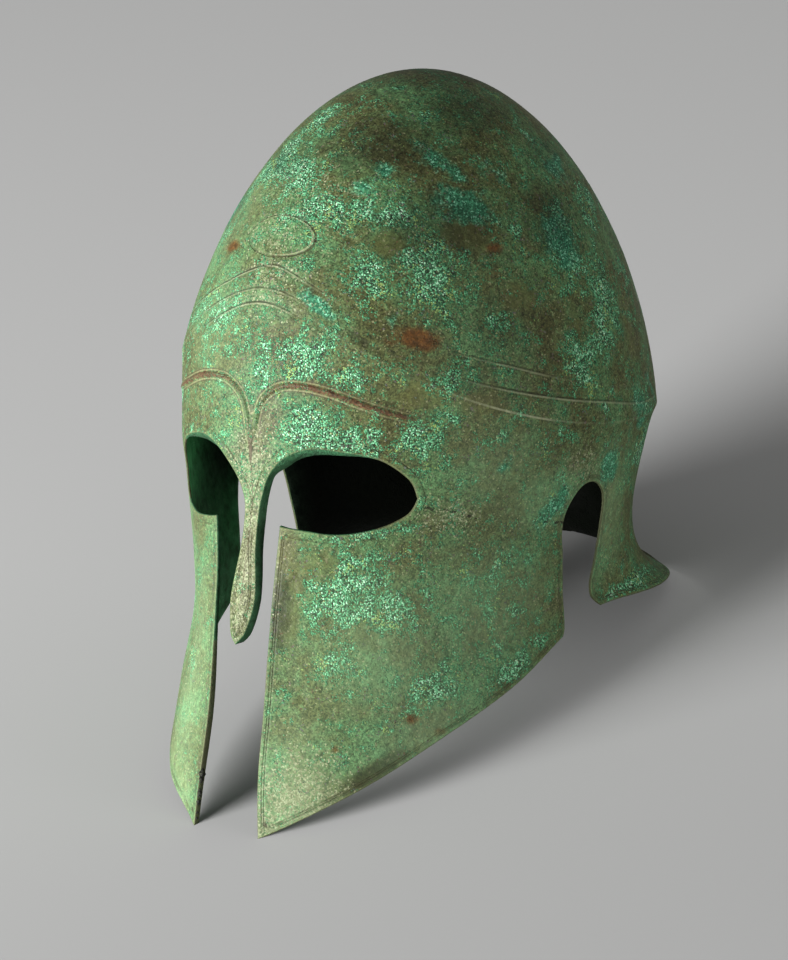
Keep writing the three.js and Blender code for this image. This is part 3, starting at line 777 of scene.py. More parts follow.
def patch_rows(kind):
    """The rows of one kind: the charted ones, their loose mirror on the right, and others at the back."""
    charted = np.array(PATCHES[kind], float)
    mirrored = charted[charted[:, 0] > MIRROR_FROM] * (-1, 1, 1, 1, -1, 1)
    spread = MIRROR_SPREAD.get(kind, MIRROR_LOOSE)
    mirrored[:, 0] += draw.uniform(-spread, spread, len(mirrored))
    mirrored[:, 0] = np.minimum(mirrored[:, 0], MIRROR_FRONT)
    mirrored[:, 1] += draw.uniform(-spread, spread, len(mirrored))
    mirrored[:, 2:4] *= draw.uniform(*MIRROR_SIZES, (len(mirrored), 2))
    mirrored[:, 5] *= MIRROR_FAINT
    behind = np.stack([draw.uniform(*limits, UNSEEN_PATCHES[kind]) for limits in UNSEEN_RANGE], -1)
    behind[:, 0] = np.where(behind[:, 0] > 180, behind[:, 0] - 360, behind[:, 0])
    behind[:, 3] *= UNSEEN_FLAT.get(kind, 1)
    behind[:, 5] *= UNSEEN_FAINT.get(kind, 1)
    return np.vstack([charted, mirrored, behind])


def patch_cover(rows, points):
    """How strongly the patches of one kind cover each point, from none to one."""
    cover = np.zeros(len(points))
    for angle, z, width, height, turn, strength in rows:
        at = outer_points(angle, z)
        facing = outward(np.array([angle]), np.array([z]))[0]
        across = np.cross((0, 0, 1), facing)
        across /= np.linalg.norm(across)
        up = np.cross(facing, across)
        away = points - at
        cosine, sine = math.cos(math.radians(turn)), math.sin(math.radians(turn))
        along = away @ (across * cosine + up * sine)
        aside = away @ (up * cosine - across * sine)
        reach = (2 * along / width) ** 2 + (2 * aside / height) ** 2 + (away @ facing / PATCH_DEPTH) ** 2
        cover = np.maximum(cover, strength * np.exp(-PATCH_FALL * reach))
    return cover


for kind in PATCHES:
    cover = patch_cover(patch_rows(kind), outside_points)
    keep(kind, cover, cover[:edge_size])

# The plugged holes and the cracks: a small filled hole near each cheek point, and hair-thin cracks that run
# into the sheet from the eyes' corners and from the left ear notch.
PLUGS = [(8.3, -131.8), (-8.3, -131.8)]
CRACKS = [
    [(36.5, -6.8), (40, -8.4), (44, -9.6), (48, -12.2), (52, -14.4)],
    [(74.3, -20.2), (78, -21.8), (81, -21.6), (83.5, -23)],
    [(-36.5, -6.8), (-41, -7.6), (-46, -10.5)],
]
CRACK_DOTS = 0.4
plug_tree = near_tree([outer_points(*plug) for plug in PLUGS])
keep("plug_gap", gaps_to(plug_tree, outside_points), FAR, FAR)
crack_runs = [spaced(np.array(crack, float), CRACK_DOTS) for crack in CRACKS]
crack_tree = near_tree(np.vstack([outer_points(*run.T) for run in crack_runs]))
keep("crack_gap", gaps_to(crack_tree, outside_points), FAR, FAR)


def add(tree, kind, inputs=None, **settings):
    """A node of that kind, with its settings, and with values or other nodes' outputs on its inputs."""
    node = tree.nodes.new(kind)
    for name, value in settings.items():
        setattr(node, name, value)
    for key, value in (inputs or {}).items():
        if isinstance(value, bpy.types.NodeSocket):
            tree.links.new(value, node.inputs[key])
        else:
            node.inputs[key].default_value = value
    return node


def count(tree, operation, *values):
    """The result of one sum on numbers."""
    return add(tree, "ShaderNodeMath", dict(enumerate(values)), operation=operation).outputs[0]


def between(tree, value, low, high):
    """None below the low value, one above the high value, and a soft step in between."""
    node = add(
        tree, "ShaderNodeMapRange", {"Value": value, "From Min": low, "From Max": high},
        interpolation_type="SMOOTHSTEP",
    )
    return node.outputs["Result"]


SEED_STEP = (0.37, 0.21, -0.29)


def shifted(tree, place, seed):
    """Places moved aside, so that one seed's clouds and grains aren't another's."""
    step = add(tree, "ShaderNodeVectorMath", {0: SEED_STEP, 3: seed}, operation="SCALE").outputs[0]
    return add(tree, "ShaderNodeVectorMath", {0: place, 1: step}, operation="ADD").outputs[0]


def cloud(tree, place, scale, detail, roughness, seed):
    """Cloudy values round one half, with lumps of about one over the scale."""
    node = add(tree, "ShaderNodeTexNoise", {
        "Vector": shifted(tree, place, seed), "Scale": scale, "Detail": detail, "Roughness": roughness,
    })
    return node.outputs[0]


# The hammer and the earth left their marks in the form itself: broad shallow hammer facets, a swelling where
# crust has grown, and eaten pits. A tree of nodes moves the points of the sheet along its normals.
FORM_INPUTS = [
    ("Sheet", "NodeSocketGeometry", None), ("Bronze", "NodeSocketMaterial", None),
    ("Hammer depth", "NodeSocketFloat", 0.00045), ("Hammer scale", "NodeSocketFloat", 38.0),
    ("Crust height", "NodeSocketFloat", 0.00055), ("Crust scale", "NodeSocketFloat", 330.0),
    ("Pit depth", "NodeSocketFloat", 0.0005), ("Pit scale", "NodeSocketFloat", 150.0),
    ("Seed", "NodeSocketFloat", 3.0),
]
# Detail and roughness of the clouds that the marks follow.
HAMMER_CLOUD = (1.5, 0.5)
CRUST_CLOUD = (2.0, 0.6)
PIT_CLOUD = (2.0, 0.5)
CRUST_FROM = 0.42
EATEN = (0.62, 0.75)
CALM = (-1.0, 6.0)


def node_tool(name, inputs, output):
    """A tree of nodes for a modifier with named inputs: the tree, its inputs and their identifiers."""
    tree = bpy.data.node_groups.new(name, "GeometryNodeTree")
    tree.is_modifier = True
    keys = {}
    for label, socket, value in inputs:
        item = tree.interface.new_socket(label, in_out="INPUT", socket_type=socket)
        if value is not None:
            item.default_value = value
        keys[label] = item.identifier
    tree.interface.new_socket(output, in_out="OUTPUT", socket_type="NodeSocketGeometry")
    return tree, add(tree, "NodeGroupInput").outputs, keys


def hand_over(tree, made, finish, output):
    """Ends a tree: what it made, as one real mesh with its finish."""
    real = add(tree, "GeometryNodeRealizeInstances", {"Geometry": made}).outputs[0]
    dressed = add(tree, "GeometryNodeSetMaterial", {"Geometry": real, "Material": finish}).outputs[0]
    add(tree, "NodeGroupOutput", {output: dressed})


def apply_tool(thing, tree, keys, inputs, finish):
    """Runs a tree on an object with its named inputs, and leaves the object with the mesh that it makes."""
    modifier = thing.modifiers.new(tree.name, "NODES")
    modifier.node_group = tree
    for label, socket, value in inputs:
        if socket == "NodeSocketMaterial":
            value = finish
        if value is not None:
            modifier[keys[label]] = value
    bpy.context.view_layer.update()
    made = bpy.data.meshes.new_from_object(thing.evaluated_get(bpy.context.evaluated_depsgraph_get()))
    thing.modifiers.remove(modifier)
    thing.data = made
    made.shade_smooth()


def kept(tree, name):
    node = add(tree, "GeometryNodeInputNamedAttribute", {"Name": name}, data_type="FLOAT")
    return node.outputs["Attribute"]


form, given, form_keys = node_tool("hammered_and_crusted", FORM_INPUTS, "Sheet")
place = add(form, "GeometryNodeInputPosition").outputs[0]
normal = add(form, "GeometryNodeInputNormal").outputs[0]
seed = given["Seed"]
facets = count(form, "SUBTRACT", cloud(form, place, given["Hammer scale"], *HAMMER_CLOUD, seed), 0.5)
hammered = count(form, "MULTIPLY", facets, given["Hammer depth"])
grains = count(form, "SUBTRACT", cloud(form, place, given["Crust scale"], *CRUST_CLOUD, seed), CRUST_FROM)
grains = count(form, "MULTIPLY", grains, kept(form, "malachite"))
crusted = count(form, "MULTIPLY", grains, given["Crust height"])
eaten = between(form, cloud(form, place, given["Pit scale"], *PIT_CLOUD, seed), *EATEN)
pitted = count(form, "MULTIPLY", eaten, given["Pit depth"])
moved = count(form, "SUBTRACT", count(form, "ADD", hammered, crusted), pitted)
calm = between(form, kept(form, "rim_gap"), *CALM)
moved = count(form, "MULTIPLY", moved, count(form, "MULTIPLY", calm, kept(form, "outer")))
offset = add(form, "ShaderNodeVectorMath", {0: normal, 3: moved}, operation="SCALE").outputs[0]
formed = add(form, "GeometryNodeSetPosition", {"Geometry": given["Sheet"], "Offset": offset}).outputs[0]
hand_over(form, formed, given["Bronze"], "Sheet")

# The finish of the bronze: an olive film, grains of crust on it that each have a shade of their own, patches
# of other products over them, and the cut lines drawn in at their true width. The tables give its numbers.
# Some of it is painted light and shade: dark and pale patches, light lines by the chased lines, the dark
# lining.
GRAIN_SCALE = 1650.0
SAND_SHARE = 0.09
DUSTY_SHARE = 0.9
CHALK_SHARE = 1.05
BROW_WAVE = 2.4
CRACK_WAVE = 2.2
GRAIN_BORDER = 0.06
SMOOTHER_BARE = -0.06
BORDER = {"in": 2.4, "eye": -1.1}
GROWTH = {"plain": 0.13, "malachite": 0.80, "clumps": 2.6, "broad": 0.9, "bare": -0.3, "pale": -0.12}
RELIEF = {"low_grain": 0.4, "mottle": 1.3, "pits": -0.5, "cuts": -0.8, "strength": 0.8, "distance": 0.0004}
RAGGED = {"bare": 0.9, "teal": 1.4, "dark": 0.8, "cuprite": 0.7}
# Clouds: scale, detail, roughness and seed.
CLOUDS = {
    "mottle": (380.0, 3.0, 0.7, 2.0), "broad": (42.0, 4.0, 0.62, 1.0), "clumps": (150.0, 4.0, 0.7, 5.0),
    "yellowed": (95.0, 3.0, 0.6, 8.0), "specks": (240.0, 2.0, 0.6, 13.0), "worn": (120.0, 3.0, 0.6, 17.0),
    "bare": (110.0, 4.0, 0.68, 3.0), "teal": (170.0, 4.0, 0.68, 9.0), "dark": (140.0, 4.0, 0.68, 11.0),
    "cuprite": (190.0, 4.0, 0.68, 12.0),
}
# Values at which something starts and at which it is whole.
SPAN = {
    "bare": (0.30, 0.75), "teal": (0.24, 0.66), "dark": (0.30, 0.85), "cuprite": (0.28, 0.78),
    "film_dark": (0.44, 0.30), "film_light": (0.54, 0.70), "ripe": (0.26, 0.82), "growth": (0.0, 0.80),
    "round_grain": (0.85, 0.55), "yellowed": (0.54, 0.70), "specks": (0.54, 0.66), "chalk": (0.20, 0.62),
    "green_core": (0.74, 0.96), "worn": (0.36, 0.60), "brow_taper": (1.0, 0.68), "red_from": (0.44, 0.60),
    "red_to": (0.97, 0.86), "brow_band": (-0.25, 0.35), "on_nose": (0.46, 0.39), "light_rim_band": (0.3, 1.2),
    "badge_wear": (-6.0, 9.0), "black": (1.1, 1.9),
}
# A factor on a value, and what is added to it.
TUNE = {
    "pepper": (-0.6, 1.1), "grain_shade": (0.68, 0.32), "yellowed": (0.5, 0.07), "pits": (0.30, 0.02),
    "dusted_pits": (-0.85, 1.0), "bloom_and_painted_light": (0.6, 0.1), "pale": (0.38, 1.0), "dark": (-0.55, 1.0),
    "rust": (0.5, 0.75), "specks": (0.16, 0.02), "ragged": (3.0, 1.0), "brow_edge": (0.85, 0.35),
    "brow_band": (0.5, 0.5), "line_left": (0.4, 0.6), "border_left": (0.6, 0.4), "twin": (-0.45, 0.45),
    "badge_wear": (0.5, 0.22), "roughness": (0.10, 0.58), "gloss": (0.11, 0.04),
}
# Drawn lines: distance from the line that they follow, half width and softness in millimetres.
DRAWN = {
    "brow_lip": (1.75, 0.12, 0.35), "nose_line": (0, 0.14, 0.22), "brow_root": (2.3, 0.12, 0.3),
    "line_highlight": (-0.75, 0.22, 0.4), "line_cut": (0, 0.2, 0.32), "border": (0, 0.1, 0.4),
    "ring": (0, 0.16, 0.3), "square": (0, 0.1, 0.25), "ring_lip": (-0.9, 0.15, 0.35),
    "square_lip": (-0.6, 0.12, 0.25), "crack": (0, 0.26, 0.25), "plug": (0.9, 0.15, 0.3),
}
# Layers: how much of what lies below they hide, and their colour where it is the same all over.
LAYERS = {
    "film_dark": (0.7, (0.015, 0.020, 0.007)), "film_light": (0.5, (0.085, 0.165, 0.062)), "bare": (0.7,),
    "yellowed": (0.75, (0.220, 0.290, 0.075)), "gaps": (0.8, (0.008, 0.014, 0.006)),
    "pits": (0.82, (0.008, 0.014, 0.006)), "sand": (0.6,), "bloom_and_painted_light": (1.0, (0.104, 0.178, 0.092)),
    "teal": (0.78,), "cuprite": (0.88,), "specks": (0.65,), "dusty": (0.68,), "green_core": (0.8,),
    "chalk": (0.86,), "brow_band": (0.9,), "brow_lip": (0.32, (0.260, 0.220, 0.120)),
    "nose_line": (0.75, (0.045, 0.030, 0.016)), "brow_root": (0.5, (0.036, 0.022, 0.012)),
    "line_highlight": (0.55, (0.250, 0.265, 0.165)), "line_cut": (0.75, (0.014, 0.013, 0.006)),
    "border": (0.48, (0.030, 0.026, 0.012)), "light_rim_band": (0.35, (0.130, 0.150, 0.070)),
    "badge_lip": (0.6, (0.260, 0.250, 0.150)), "badge": (1.0, (0.030, 0.020, 0.010)),
    "crack": (0.8, (0.012, 0.010, 0.006)), "plug": (0.7, (0.030, 0.028, 0.016)), "cut_edge": (0.85,),
    "deep": (0.98,), "black": (1.0, (0.0016, 0.0024, 0.0012)),
}
PLAIN_EDGE = (0.042, 0.044, 0.019)
# Colours that follow a value, as stops.
STOPS = {
    "film": [
        (0.34, (0.038, 0.040, 0.013)), (0.45, (0.050, 0.060, 0.021)),
        (0.55, (0.046, 0.082, 0.031)), (0.70, (0.060, 0.136, 0.054)),
    ],
    "smooth_brown": [(0.35, (0.040, 0.040, 0.011)), (0.65, (0.076, 0.080, 0.024))],
    "malachite": [
        (0.0, (0.016, 0.064, 0.027)), (0.30, (0.044, 0.180, 0.080)), (0.62, (0.112, 0.345, 0.172)),
        (0.88, (0.220, 0.490, 0.285)), (1.0, (0.41, 0.63, 0.44)),
    ],
    "sand": [(0.0, (0.060, 0.058, 0.024)), (1.0, (0.22, 0.22, 0.12))],
    "blue_green": [
        (0.0, (0.005, 0.044, 0.022)), (0.55, (0.016, 0.125, 0.062)),
        (0.85, (0.045, 0.250, 0.135)), (1.0, (0.20, 0.48, 0.32)),
    ],
    "rust": [(0.35, (0.038, 0.015, 0.003)), (0.62, (0.094, 0.034, 0.006))],
    "specks": [(0.3, (0.070, 0.032, 0.018)), (0.6, (0.088, 0.070, 0.078))],
    "dust": [(0.0, (0.112, 0.118, 0.062)), (0.6, (0.172, 0.184, 0.104)), (1.0, (0.26, 0.28, 0.175))],
    "chalk": [(0.0, (0.12, 0.17, 0.11)), (1.0, (0.50, 0.61, 0.47))],
    "brow_red": [(0.0, (0.026, 0.011, 0.006)), (1.0, (0.098, 0.036, 0.020))],
    "edge_green": [(0.35, (0.006, 0.038, 0.016)), (0.65, (0.016, 0.086, 0.036))],
    "inside": [(0.36, (0.022, 0.110, 0.032)), (0.52, (0.046, 0.240, 0.076)), (0.68, (0.080, 0.340, 0.120))],
    # Painted shade: the lining's colours where it lies deep inside.
    "deep": [(0.40, (0.0030, 0.0080, 0.0040)), (0.62, (0.0200, 0.0330, 0.0200))],
}


def new_finish(name):
    """A material of that name with an empty tree."""
    finish = bpy.data.materials.new(name)
    finish.use_nodes = True
    finish.node_tree.nodes.clear()
    return finish, finish.node_tree


bronze, skin = new_finish("patinated_bronze")
spot = add(skin, "ShaderNodeTexCoord").outputs["Object"]


def mark(name):
    return add(skin, "ShaderNodeAttribute", attribute_name=name).outputs["Fac"]


def times(a, b):
    return count(skin, "MULTIPLY", a, b)


def plus(a, b):
    return count(skin, "ADD", a, b)


def less(a, b):
    return count(skin, "SUBTRACT", a, b)


def larger(a, b):
    return count(skin, "MAXIMUM", a, b)


def size(value):
    return count(skin, "ABSOLUTE", value)


def grown(value, factor, base):
    return count(skin, "MULTIPLY_ADD", value, factor, base)


def tuned(name, value):
    return grown(value, *TUNE[name])


def eased(name, value):
    return between(skin, value, *SPAN[name])


def clouds(name):
    return cloud(skin, spot, *CLOUDS[name])


def over(cover, under, colour):
    """A colour laid over another where the cover is one."""
    colours = {6: under, 7: colour}
    for key, value in colours.items():
        if isinstance(value, tuple):
            colours[key] = (*value, 1.0)
    return add(skin, "ShaderNodeMix", {0: cover, **colours}, data_type="RGBA").outputs[2]


def layer(name, cover, under, colour=None):
    """One layer of the finish over what lies below it, in the given colour or in its own."""
    share, *own = LAYERS[name]
    return over(times(cover, share), under, own[0] if colour is None else colour)


def shades(name, value):
    """A colour for each value, through the stops of that name."""
    node = add(skin, "ShaderNodeValToRGB", {0: value})
    ramp = node.color_ramp
    while len(ramp.elements) < len(STOPS[name]):
        ramp.elements.new(0.5)
    for element, (at, colour) in zip(ramp.elements, STOPS[name]):
        element.position = at
        element.color = (*colour, 1.0)
    return node.outputs[0]


def brighter(colour, factor):
    return add(skin, "ShaderNodeVectorMath", {0: colour, 3: factor}, operation="SCALE").outputs[0]


def patchy(name):
    """One kind of patch with a ragged border."""
    return eased(name, grown(less(clouds(name), 0.5), RAGGED[name], mark(name)))


def drawn(name, gap):
    """A drawn line of that name beside the line where the gap is none."""
    aside, half_width, soft = DRAWN[name]
    return less(1.0, between(skin, size(less(gap, aside)), half_width, half_width + soft))


def chosen(share, own):
    """The grains whose own random number lies below the share."""
    return between(skin, less(share, own), 0.0, GRAIN_BORDER)


cells = add(skin, "ShaderNodeTexVoronoi", {"Vector": spot, "Scale": GRAIN_SCALE, "Randomness": 1.0})
from_middle = cells.outputs["Distance"]
luck, lightness, hue = add(skin, "ShaderNodeSeparateColor", {0: cells.outputs["Color"]}).outputs
mottle, broad, clumps = clouds("mottle"), clouds("broad"), clouds("clumps")
mottled = less(mottle, 0.5)

bare = patchy("bare")
film = shades("film", broad)
film = layer("film_dark", eased("film_dark", mottle), film)
film = layer("film_light", eased("film_light", mottle), film)
film = layer("bare", bare, film, shades("smooth_brown", mottle))
film = brighter(film, grown(less(lightness, 0.5), tuned("pepper", bare), 1.0))

growth = GROWTH["plain"]
grown_with = {
    "malachite": mark("malachite"), "clumps": less(clumps, 0.5), "broad": less(broad, 0.5), "bare": bare,
    "pale": mark("pale"),
}
for name, value in grown_with.items():
    growth = grown(value, GROWTH[name], growth)
ripe = eased("ripe", growth)
round_grain = eased("round_grain", from_middle)
grain = times(chosen(eased("growth", growth), luck), round_grain)
malachite = shades("malachite", times(lightness, tuned("grain_shade", ripe)))
yellowed = chosen(tuned("yellowed", eased("yellowed", clouds("yellowed"))), hue)
colour = over(grain, film, layer("yellowed", yellowed, malachite))
colour = layer("gaps", times(less(1.0, round_grain), ripe), colour)
pits = chosen(tuned("pits", ripe), less(1.0, hue))
pits = times(pits, tuned("dusted_pits", mark("dusty")))
colour = layer("pits", pits, colour)
colour = layer("sand", chosen(SAND_SHARE, hue), colour, shades("sand", lightness))
# Painted light: the pale patches lay a green bloom and brighten the colour by up to 38 per cent where light
# falls.
colour = layer("bloom_and_painted_light", times(mark("pale"), tuned("bloom_and_painted_light", mottle)), colour)
colour = brighter(colour, tuned("pale", mark("pale")))

blue_green = shades("blue_green", lightness)
colour = layer("teal", patchy("teal"), colour, blue_green)
# Mostly painted shade: the dark patches darken the colour by up to 55 per cent; a few are real dark stains.
colour = brighter(colour, tuned("dark", patchy("dark")))
rust = brighter(shades("rust", mottle), tuned("rust", lightness))
colour = layer("cuprite", patchy("cuprite"), colour, rust)
specks = chosen(tuned("specks", eased("specks", clouds("specks"))), luck)
colour = layer("specks", specks, colour, shades("specks", hue))

ragged = tuned("ragged", mottled)
dusty = chosen(times(times(mark("dusty"), ragged), DUSTY_SHARE), hue)
colour = layer("dusty", dusty, colour, shades("dust", lightness))
chalky = times(mark("chalk"), ragged)
chalk = chosen(times(eased("chalk", chalky), CHALK_SHARE), luck)
chalk_tone = layer("green_core", eased("green_core", chalky), shades("chalk", lightness), blue_green)
colour = layer("chalk", chalk, colour, chalk_tone)

worn = eased("worn", clouds("worn"))
from_brow, along_brow = mark("brow_gap"), mark("brow_run")
brow_taper = eased("brow_taper", along_brow)
reddish = times(eased("red_from", along_brow), eased("red_to", along_brow))
brow_wave = plus(times(mottled, BROW_WAVE), from_brow)
brow_band = eased("brow_band", less(tuned("brow_edge", brow_taper), brow_wave))
brow_band = times(times(brow_band, reddish), tuned("brow_band", luck))
colour = layer("brow_band", brow_band, colour, shades("brow_red", lightness))
on_nose = eased("on_nose", along_brow)
off_nose = times(brow_taper, less(1.0, on_nose))
for name, where in (("brow_lip", off_nose), ("nose_line", on_nose), ("brow_root", off_nose)):
    colour = layer(name, times(drawn(name, from_brow), where), colour)

# Painted highlight: a light line just below each chased line and along the crease; the crease gets nothing
# else.
cuts = 0.0
for name in LINES:
    gap = mark(name + "_gap")
    left = times(mark(name + "_wear"), tuned("line_left", worn))
    colour = layer("line_highlight", times(drawn("line_highlight", gap), left), colour)
    if name != "crease":
        cut = times(drawn("line_cut", gap), left)
        colour = layer("line_cut", cut, colour)
        cuts = larger(cuts, cut)

border_gap = grown(mark("eye_rim"), BORDER["eye"], less(mark("rim_gap"), BORDER["in"]))
border = drawn("border", less(size(border_gap), tuned("twin", mark("eye_rim"))))
border = times(border, tuned("border_left", worn))
colour = layer("border", border, colour)
# A lighter band along the cut edge, within about a millimetre of it.
colour = layer("light_rim_band", less(1.0, eased("light_rim_band", mark("rim_gap"))), colour)

badge_x, badge_y = mark("badge_across"), mark("badge_up")
ring_x = count(skin, "POWER", count(skin, "DIVIDE", badge_x, BADGE["half_width"]), 2.0)
ring_y = count(skin, "POWER", count(skin, "DIVIDE", badge_y, BADGE["half_height"]), 2.0)
badge_ring = times(less(count(skin, "SQRT", plus(ring_x, ring_y)), 1.0), BADGE["drawn_radius"])
square_x, square_y = size(plus(badge_x, BADGE_SQUARE["right"])), size(plus(badge_y, BADGE_SQUARE["below"]))
badge_square = less(larger(square_x, square_y), BADGE_SQUARE["half"])
badge = larger(drawn("ring", badge_ring), drawn("square", badge_square))
badge_lip = larger(drawn("ring_lip", badge_ring), drawn("square_lip", badge_square))
badge_wear = tuned("badge_wear", eased("badge_wear", badge_x))
colour = layer("badge_lip", times(badge_lip, badge_wear), colour)
colour = layer("badge", times(badge, badge_wear), colour)

crack = drawn("crack", plus(mark("crack_gap"), times(mottled, CRACK_WAVE)))
colour = layer("crack", crack, colour)
plug = drawn("plug", mark("plug_gap"))
colour = layer("plug", plug, colour)

edge_tone = over(mark("nose_edge"), PLAIN_EDGE, shades("edge_green", mottle))
colour = layer("cut_edge", mark("cut_edge"), colour, edge_tone)
# Painted shade: the lining is darkened deep inside and turned nearly black at the back, where shade falls.
inside_tone = layer("deep", mark("deep"), shades("inside", clumps), shades("deep", clumps))
inside_tone = layer("black", eased("black", mark("deep")), inside_tone)
colour = over(mark("outer"), inside_tone, colour)

dome = less(1.0, times(from_middle, from_middle))
height = times(times(grain, dome), plus(lightness, RELIEF["low_grain"]))
cuts = larger(cuts, larger(larger(border, badge), larger(crack, plug)))
for name, value in {"mottle": mottle, "pits": pits, "cuts": cuts}.items():
    height = grown(value, RELIEF[name], height)
dents = add(skin, "ShaderNodeBump", {
    "Strength": RELIEF["strength"], "Distance": RELIEF["distance"], "Height": height,
}).outputs[0]
shader = add(skin, "ShaderNodeBsdfPrincipled", {
    "Base Color": colour, "Roughness": grown(bare, SMOOTHER_BARE, tuned("roughness", grain)), "Normal": dents,
    "Metallic": 0.0, "Specular IOR Level": tuned("gloss", mark("outer")),
})
add(skin, "ShaderNodeOutputMaterial", {"Surface": shader.outputs[0]})

apply_tool(shell, form, form_keys, FORM_INPUTS, bronze)
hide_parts("helmet_shell")
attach(shell, "root")

# The clinging crust: hard black lumps of earth and corrosion left on the front edge of the right cheek.
# A tree of nodes sets a knobbly lump of its own size on each of a few points of that edge.
LUMPS = [
    (-115.6, 1.7), (-116.6, 2.7), (-118, 2.0), (-119.2, 1.1), (-122.9, 1.4), (-124.2, 2.0), (-125.8, 1.6),
    (-127.3, 1.8), (-128.6, 1.0), (-132.4, 1.0), (-134.6, 1.1),
]
LUMP_SEAT = {"front": -60.0, "widest": 22.0, "deep": 0.9, "proud": 0.1}
CRUST_INPUTS = [
    ("Places", "NodeSocketGeometry", None), ("Crust", "NodeSocketMaterial", None),
    ("Knob height", "NodeSocketFloat", 0.42), ("Knob scale", "NodeSocketFloat", 2.6),
    ("Seed", "NodeSocketInt", 4),
]
KNOB_CLOUD = (3.0, 0.6, 2.0)
CLOD_CLOUD = (1400.0, 3.0, 0.7, 6.0)
CLOD_SPAN = (0.45, 0.68)
CLOD_TONES = {6: (0.004, 0.004, 0.003, 1), 7: (0.030, 0.036, 0.018, 1)}
CLOD_RELIEF = {"Strength": 0.8, "Distance": 0.0003}
FULL_TURN = 6.28
cheek_front = (edge_points[:-1, 0] < 0) & (edge_points[:-1, 1] < LUMP_SEAT["front"])
front_at = np.flatnonzero(cheek_front & (np.abs(edge_points[:-1, 0]) < LUMP_SEAT["widest"]))
lump_places = []
for z, across in LUMPS:
    k = front_at[np.argmin(np.abs(edge_points[front_at, 2] - z))]
    sunk = edge_outward[k] * LUMP_SEAT["deep"]
    lump_places.append(edge_points[k] - sunk - edge_inward[k] * LUMP_SEAT["proud"] * across)
crust_mesh = bpy.data.meshes.new("clinging_crust")
crust_mesh.from_pydata(at_rest(lump_places).tolist(), [], [])
sizes = crust_mesh.attributes.new("size", "FLOAT", "POINT")
sizes.data.foreach_set("value", [across * MILLIMETRE for z, across in LUMPS])
crust = new_object("clinging_crust", crust_mesh)

earth, ground = new_finish("black_crust")
clod = cloud(ground, add(ground, "ShaderNodeTexCoord").outputs["Object"], *CLOD_CLOUD)
crumbs = between(ground, clod, *CLOD_SPAN)
earth_tone = add(ground, "ShaderNodeMix", {0: crumbs, **CLOD_TONES}, data_type="RGBA").outputs[2]
earth_dents = add(ground, "ShaderNodeBump", {**CLOD_RELIEF, "Height": clod}).outputs[0]
earth_shader = add(ground, "ShaderNodeBsdfPrincipled", {
    "Base Color": earth_tone, "Roughness": 0.7, "Normal": earth_dents, "Specular IOR Level": 0.2,
})
add(ground, "ShaderNodeOutputMaterial", {"Surface": earth_shader.outputs[0]})

lumped, lump_inputs, lump_keys = node_tool("clinging_lumps", CRUST_INPUTS, "Lumps")
ball = add(lumped, "GeometryNodeMeshIcoSphere", {"Radius": 0.5, "Subdivisions": 4}).outputs[0]
ball_place = add(lumped, "GeometryNodeInputPosition").outputs[0]
ball_normal = add(lumped, "GeometryNodeInputNormal").outputs[0]
knobs = count(lumped, "SUBTRACT", cloud(lumped, ball_place, lump_inputs["Knob scale"], *KNOB_CLOUD), 0.5)
knobs = count(lumped, "MULTIPLY", knobs, lump_inputs["Knob height"])
knobs = add(lumped, "ShaderNodeVectorMath", {0: ball_normal, 3: knobs}, operation="SCALE").outputs[0]
lump = add(lumped, "GeometryNodeSetPosition", {"Geometry": ball, "Offset": knobs}).outputs[0]
any_turn = add(lumped, "FunctionNodeRandomValue", {
    "Min": (0.0, 0.0, 0.0), "Max": (FULL_TURN, FULL_TURN, FULL_TURN), "Seed": lump_inputs["Seed"],
}, data_type="FLOAT_VECTOR").outputs[0]
lumps = add(lumped, "GeometryNodeInstanceOnPoints", {
    "Points": lump_inputs["Places"], "Instance": lump, "Rotation": any_turn, "Scale": kept(lumped, "size"),
}).outputs[0]
hand_over(lumped, lumps, lump_inputs["Crust"], "Lumps")
apply_tool(crust, lumped, lump_keys, CRUST_INPUTS, earth)
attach(crust, "root")

# The floor: a plain pale grey sheet that the helmet stands on. It is a little darker towards the camera, so
# that it looks even under the lamps.
FLOOR = {"reach": 6.0, "toward": (0.6, -0.8, 0.0), "from": -0.25, "to": 0.30, "roughness": 0.9, "gloss": 0.1}
FLOOR_TONES = {6: (0.385, 0.385, 0.381, 1), 7: (0.305, 0.305, 0.302, 1)}
floor_mesh = bpy.data.meshes.new("floor")
corners = [(FLOOR["reach"] * x, FLOOR["reach"] * y, 0) for x, y in ((-1, -1), (1, -1), (1, 1), (-1, 1))]
floor_mesh.from_pydata(corners, [], [(0, 1, 2, 3)])
floor = new_object("floor", floor_mesh)
paper, sheet = new_finish("pale_floor")
paper_place = add(sheet, "ShaderNodeTexCoord").outputs["Object"]
nearer = add(sheet, "ShaderNodeVectorMath", {0: paper_place, 1: FLOOR["toward"]}, operation="DOT_PRODUCT")
nearer = between(sheet, nearer.outputs["Value"], FLOOR["from"], FLOOR["to"])
paper_tone = add(sheet, "ShaderNodeMix", {0: nearer, **FLOOR_TONES}, data_type="RGBA").outputs[2]
paper_shader = add(sheet, "ShaderNodeBsdfPrincipled", {
    "Base Color": paper_tone, "Roughness": FLOOR["roughness"], "Specular IOR Level": FLOOR["gloss"],
})
add(sheet, "ShaderNodeOutputMaterial", {"Surface": paper_shader.outputs[0]})
floor_mesh.materials.append(paper)

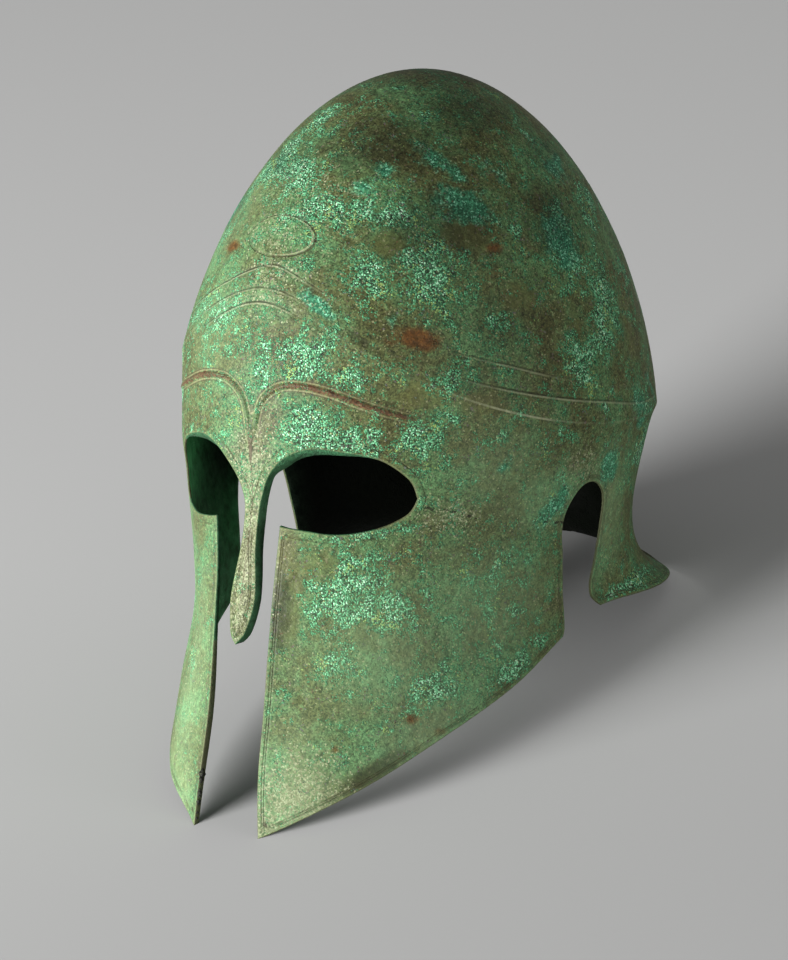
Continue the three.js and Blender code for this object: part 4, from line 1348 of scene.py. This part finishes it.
# The camera: it stands where the photograph was taken from, to the wearer's left and above the brow, and it
# keeps that angle to the helmet, which is tipped back on the floor.
CAMERA = {
    "azimuth": 36.5, "elevation": 12.0, "distance": 2000.0, "right": -9.43, "up": -16.6, "lens": 182.9,
    "sensor": 36,
}
turn, climb = math.radians(CAMERA["azimuth"]), math.radians(CAMERA["elevation"])
to_camera = np.array([math.sin(turn) * math.cos(climb), -math.cos(turn) * math.cos(climb), math.sin(climb)])
camera_right = np.array([math.cos(turn), math.sin(turn), 0])
camera_up = np.cross(to_camera, camera_right)
stand_at = CAMERA["distance"] * to_camera + CAMERA["right"] * camera_right + CAMERA["up"] * camera_up
axes = Matrix((tip_turn @ camera_right, tip_turn @ camera_up, tip_turn @ to_camera)).transposed()
lens = bpy.data.cameras.new("camera")
lens.lens = CAMERA["lens"]
lens.sensor_width = CAMERA["sensor"]
camera = new_object("camera", lens)
camera.matrix_world = Matrix.Translation(at_rest(stand_at)) @ axes.to_4x4()
bpy.context.scene.camera = camera

# The light: one large soft lamp far to the left of the camera, near the helmet's own height, a weak low one
# at the right, and a dim even room.
LAMPS = {
    "key": {"right": -3.2, "front": 1.7, "up": -0.65, "size": 2.4, "power": 610.0},
    "fill": {"right": 1.7, "front": 1.3, "up": -0.7, "size": 1.6, "power": 92.0},
}
ROOM_LIGHT = 0.31
LIT_MIDDLE = np.array([0, 0, 0.12])
to_right, to_top, to_front = (np.array(axes.col[k]) for k in range(3))
for name, lamp in LAMPS.items():
    from_middle_to_lamp = lamp["right"] * to_right + lamp["front"] * to_front + lamp["up"] * to_top
    light = bpy.data.lights.new(name, "AREA")
    light.shape = "DISK"
    light.size = lamp["size"]
    light.energy = lamp["power"]
    light_object = new_object(name, light)
    light_object.location = LIT_MIDDLE + from_middle_to_lamp
    light_object.rotation_euler = Vector(from_middle_to_lamp).to_track_quat("Z", "Y").to_euler()
room = bpy.data.worlds.new("room")
room.use_nodes = True
room.node_tree.nodes["Background"].inputs["Color"].default_value = (1.0, 1.0, 1.0, 1)
room.node_tree.nodes["Background"].inputs["Strength"].default_value = ROOM_LIGHT
bpy.context.scene.world = room
bpy.context.scene.view_settings.view_transform = "Standard"
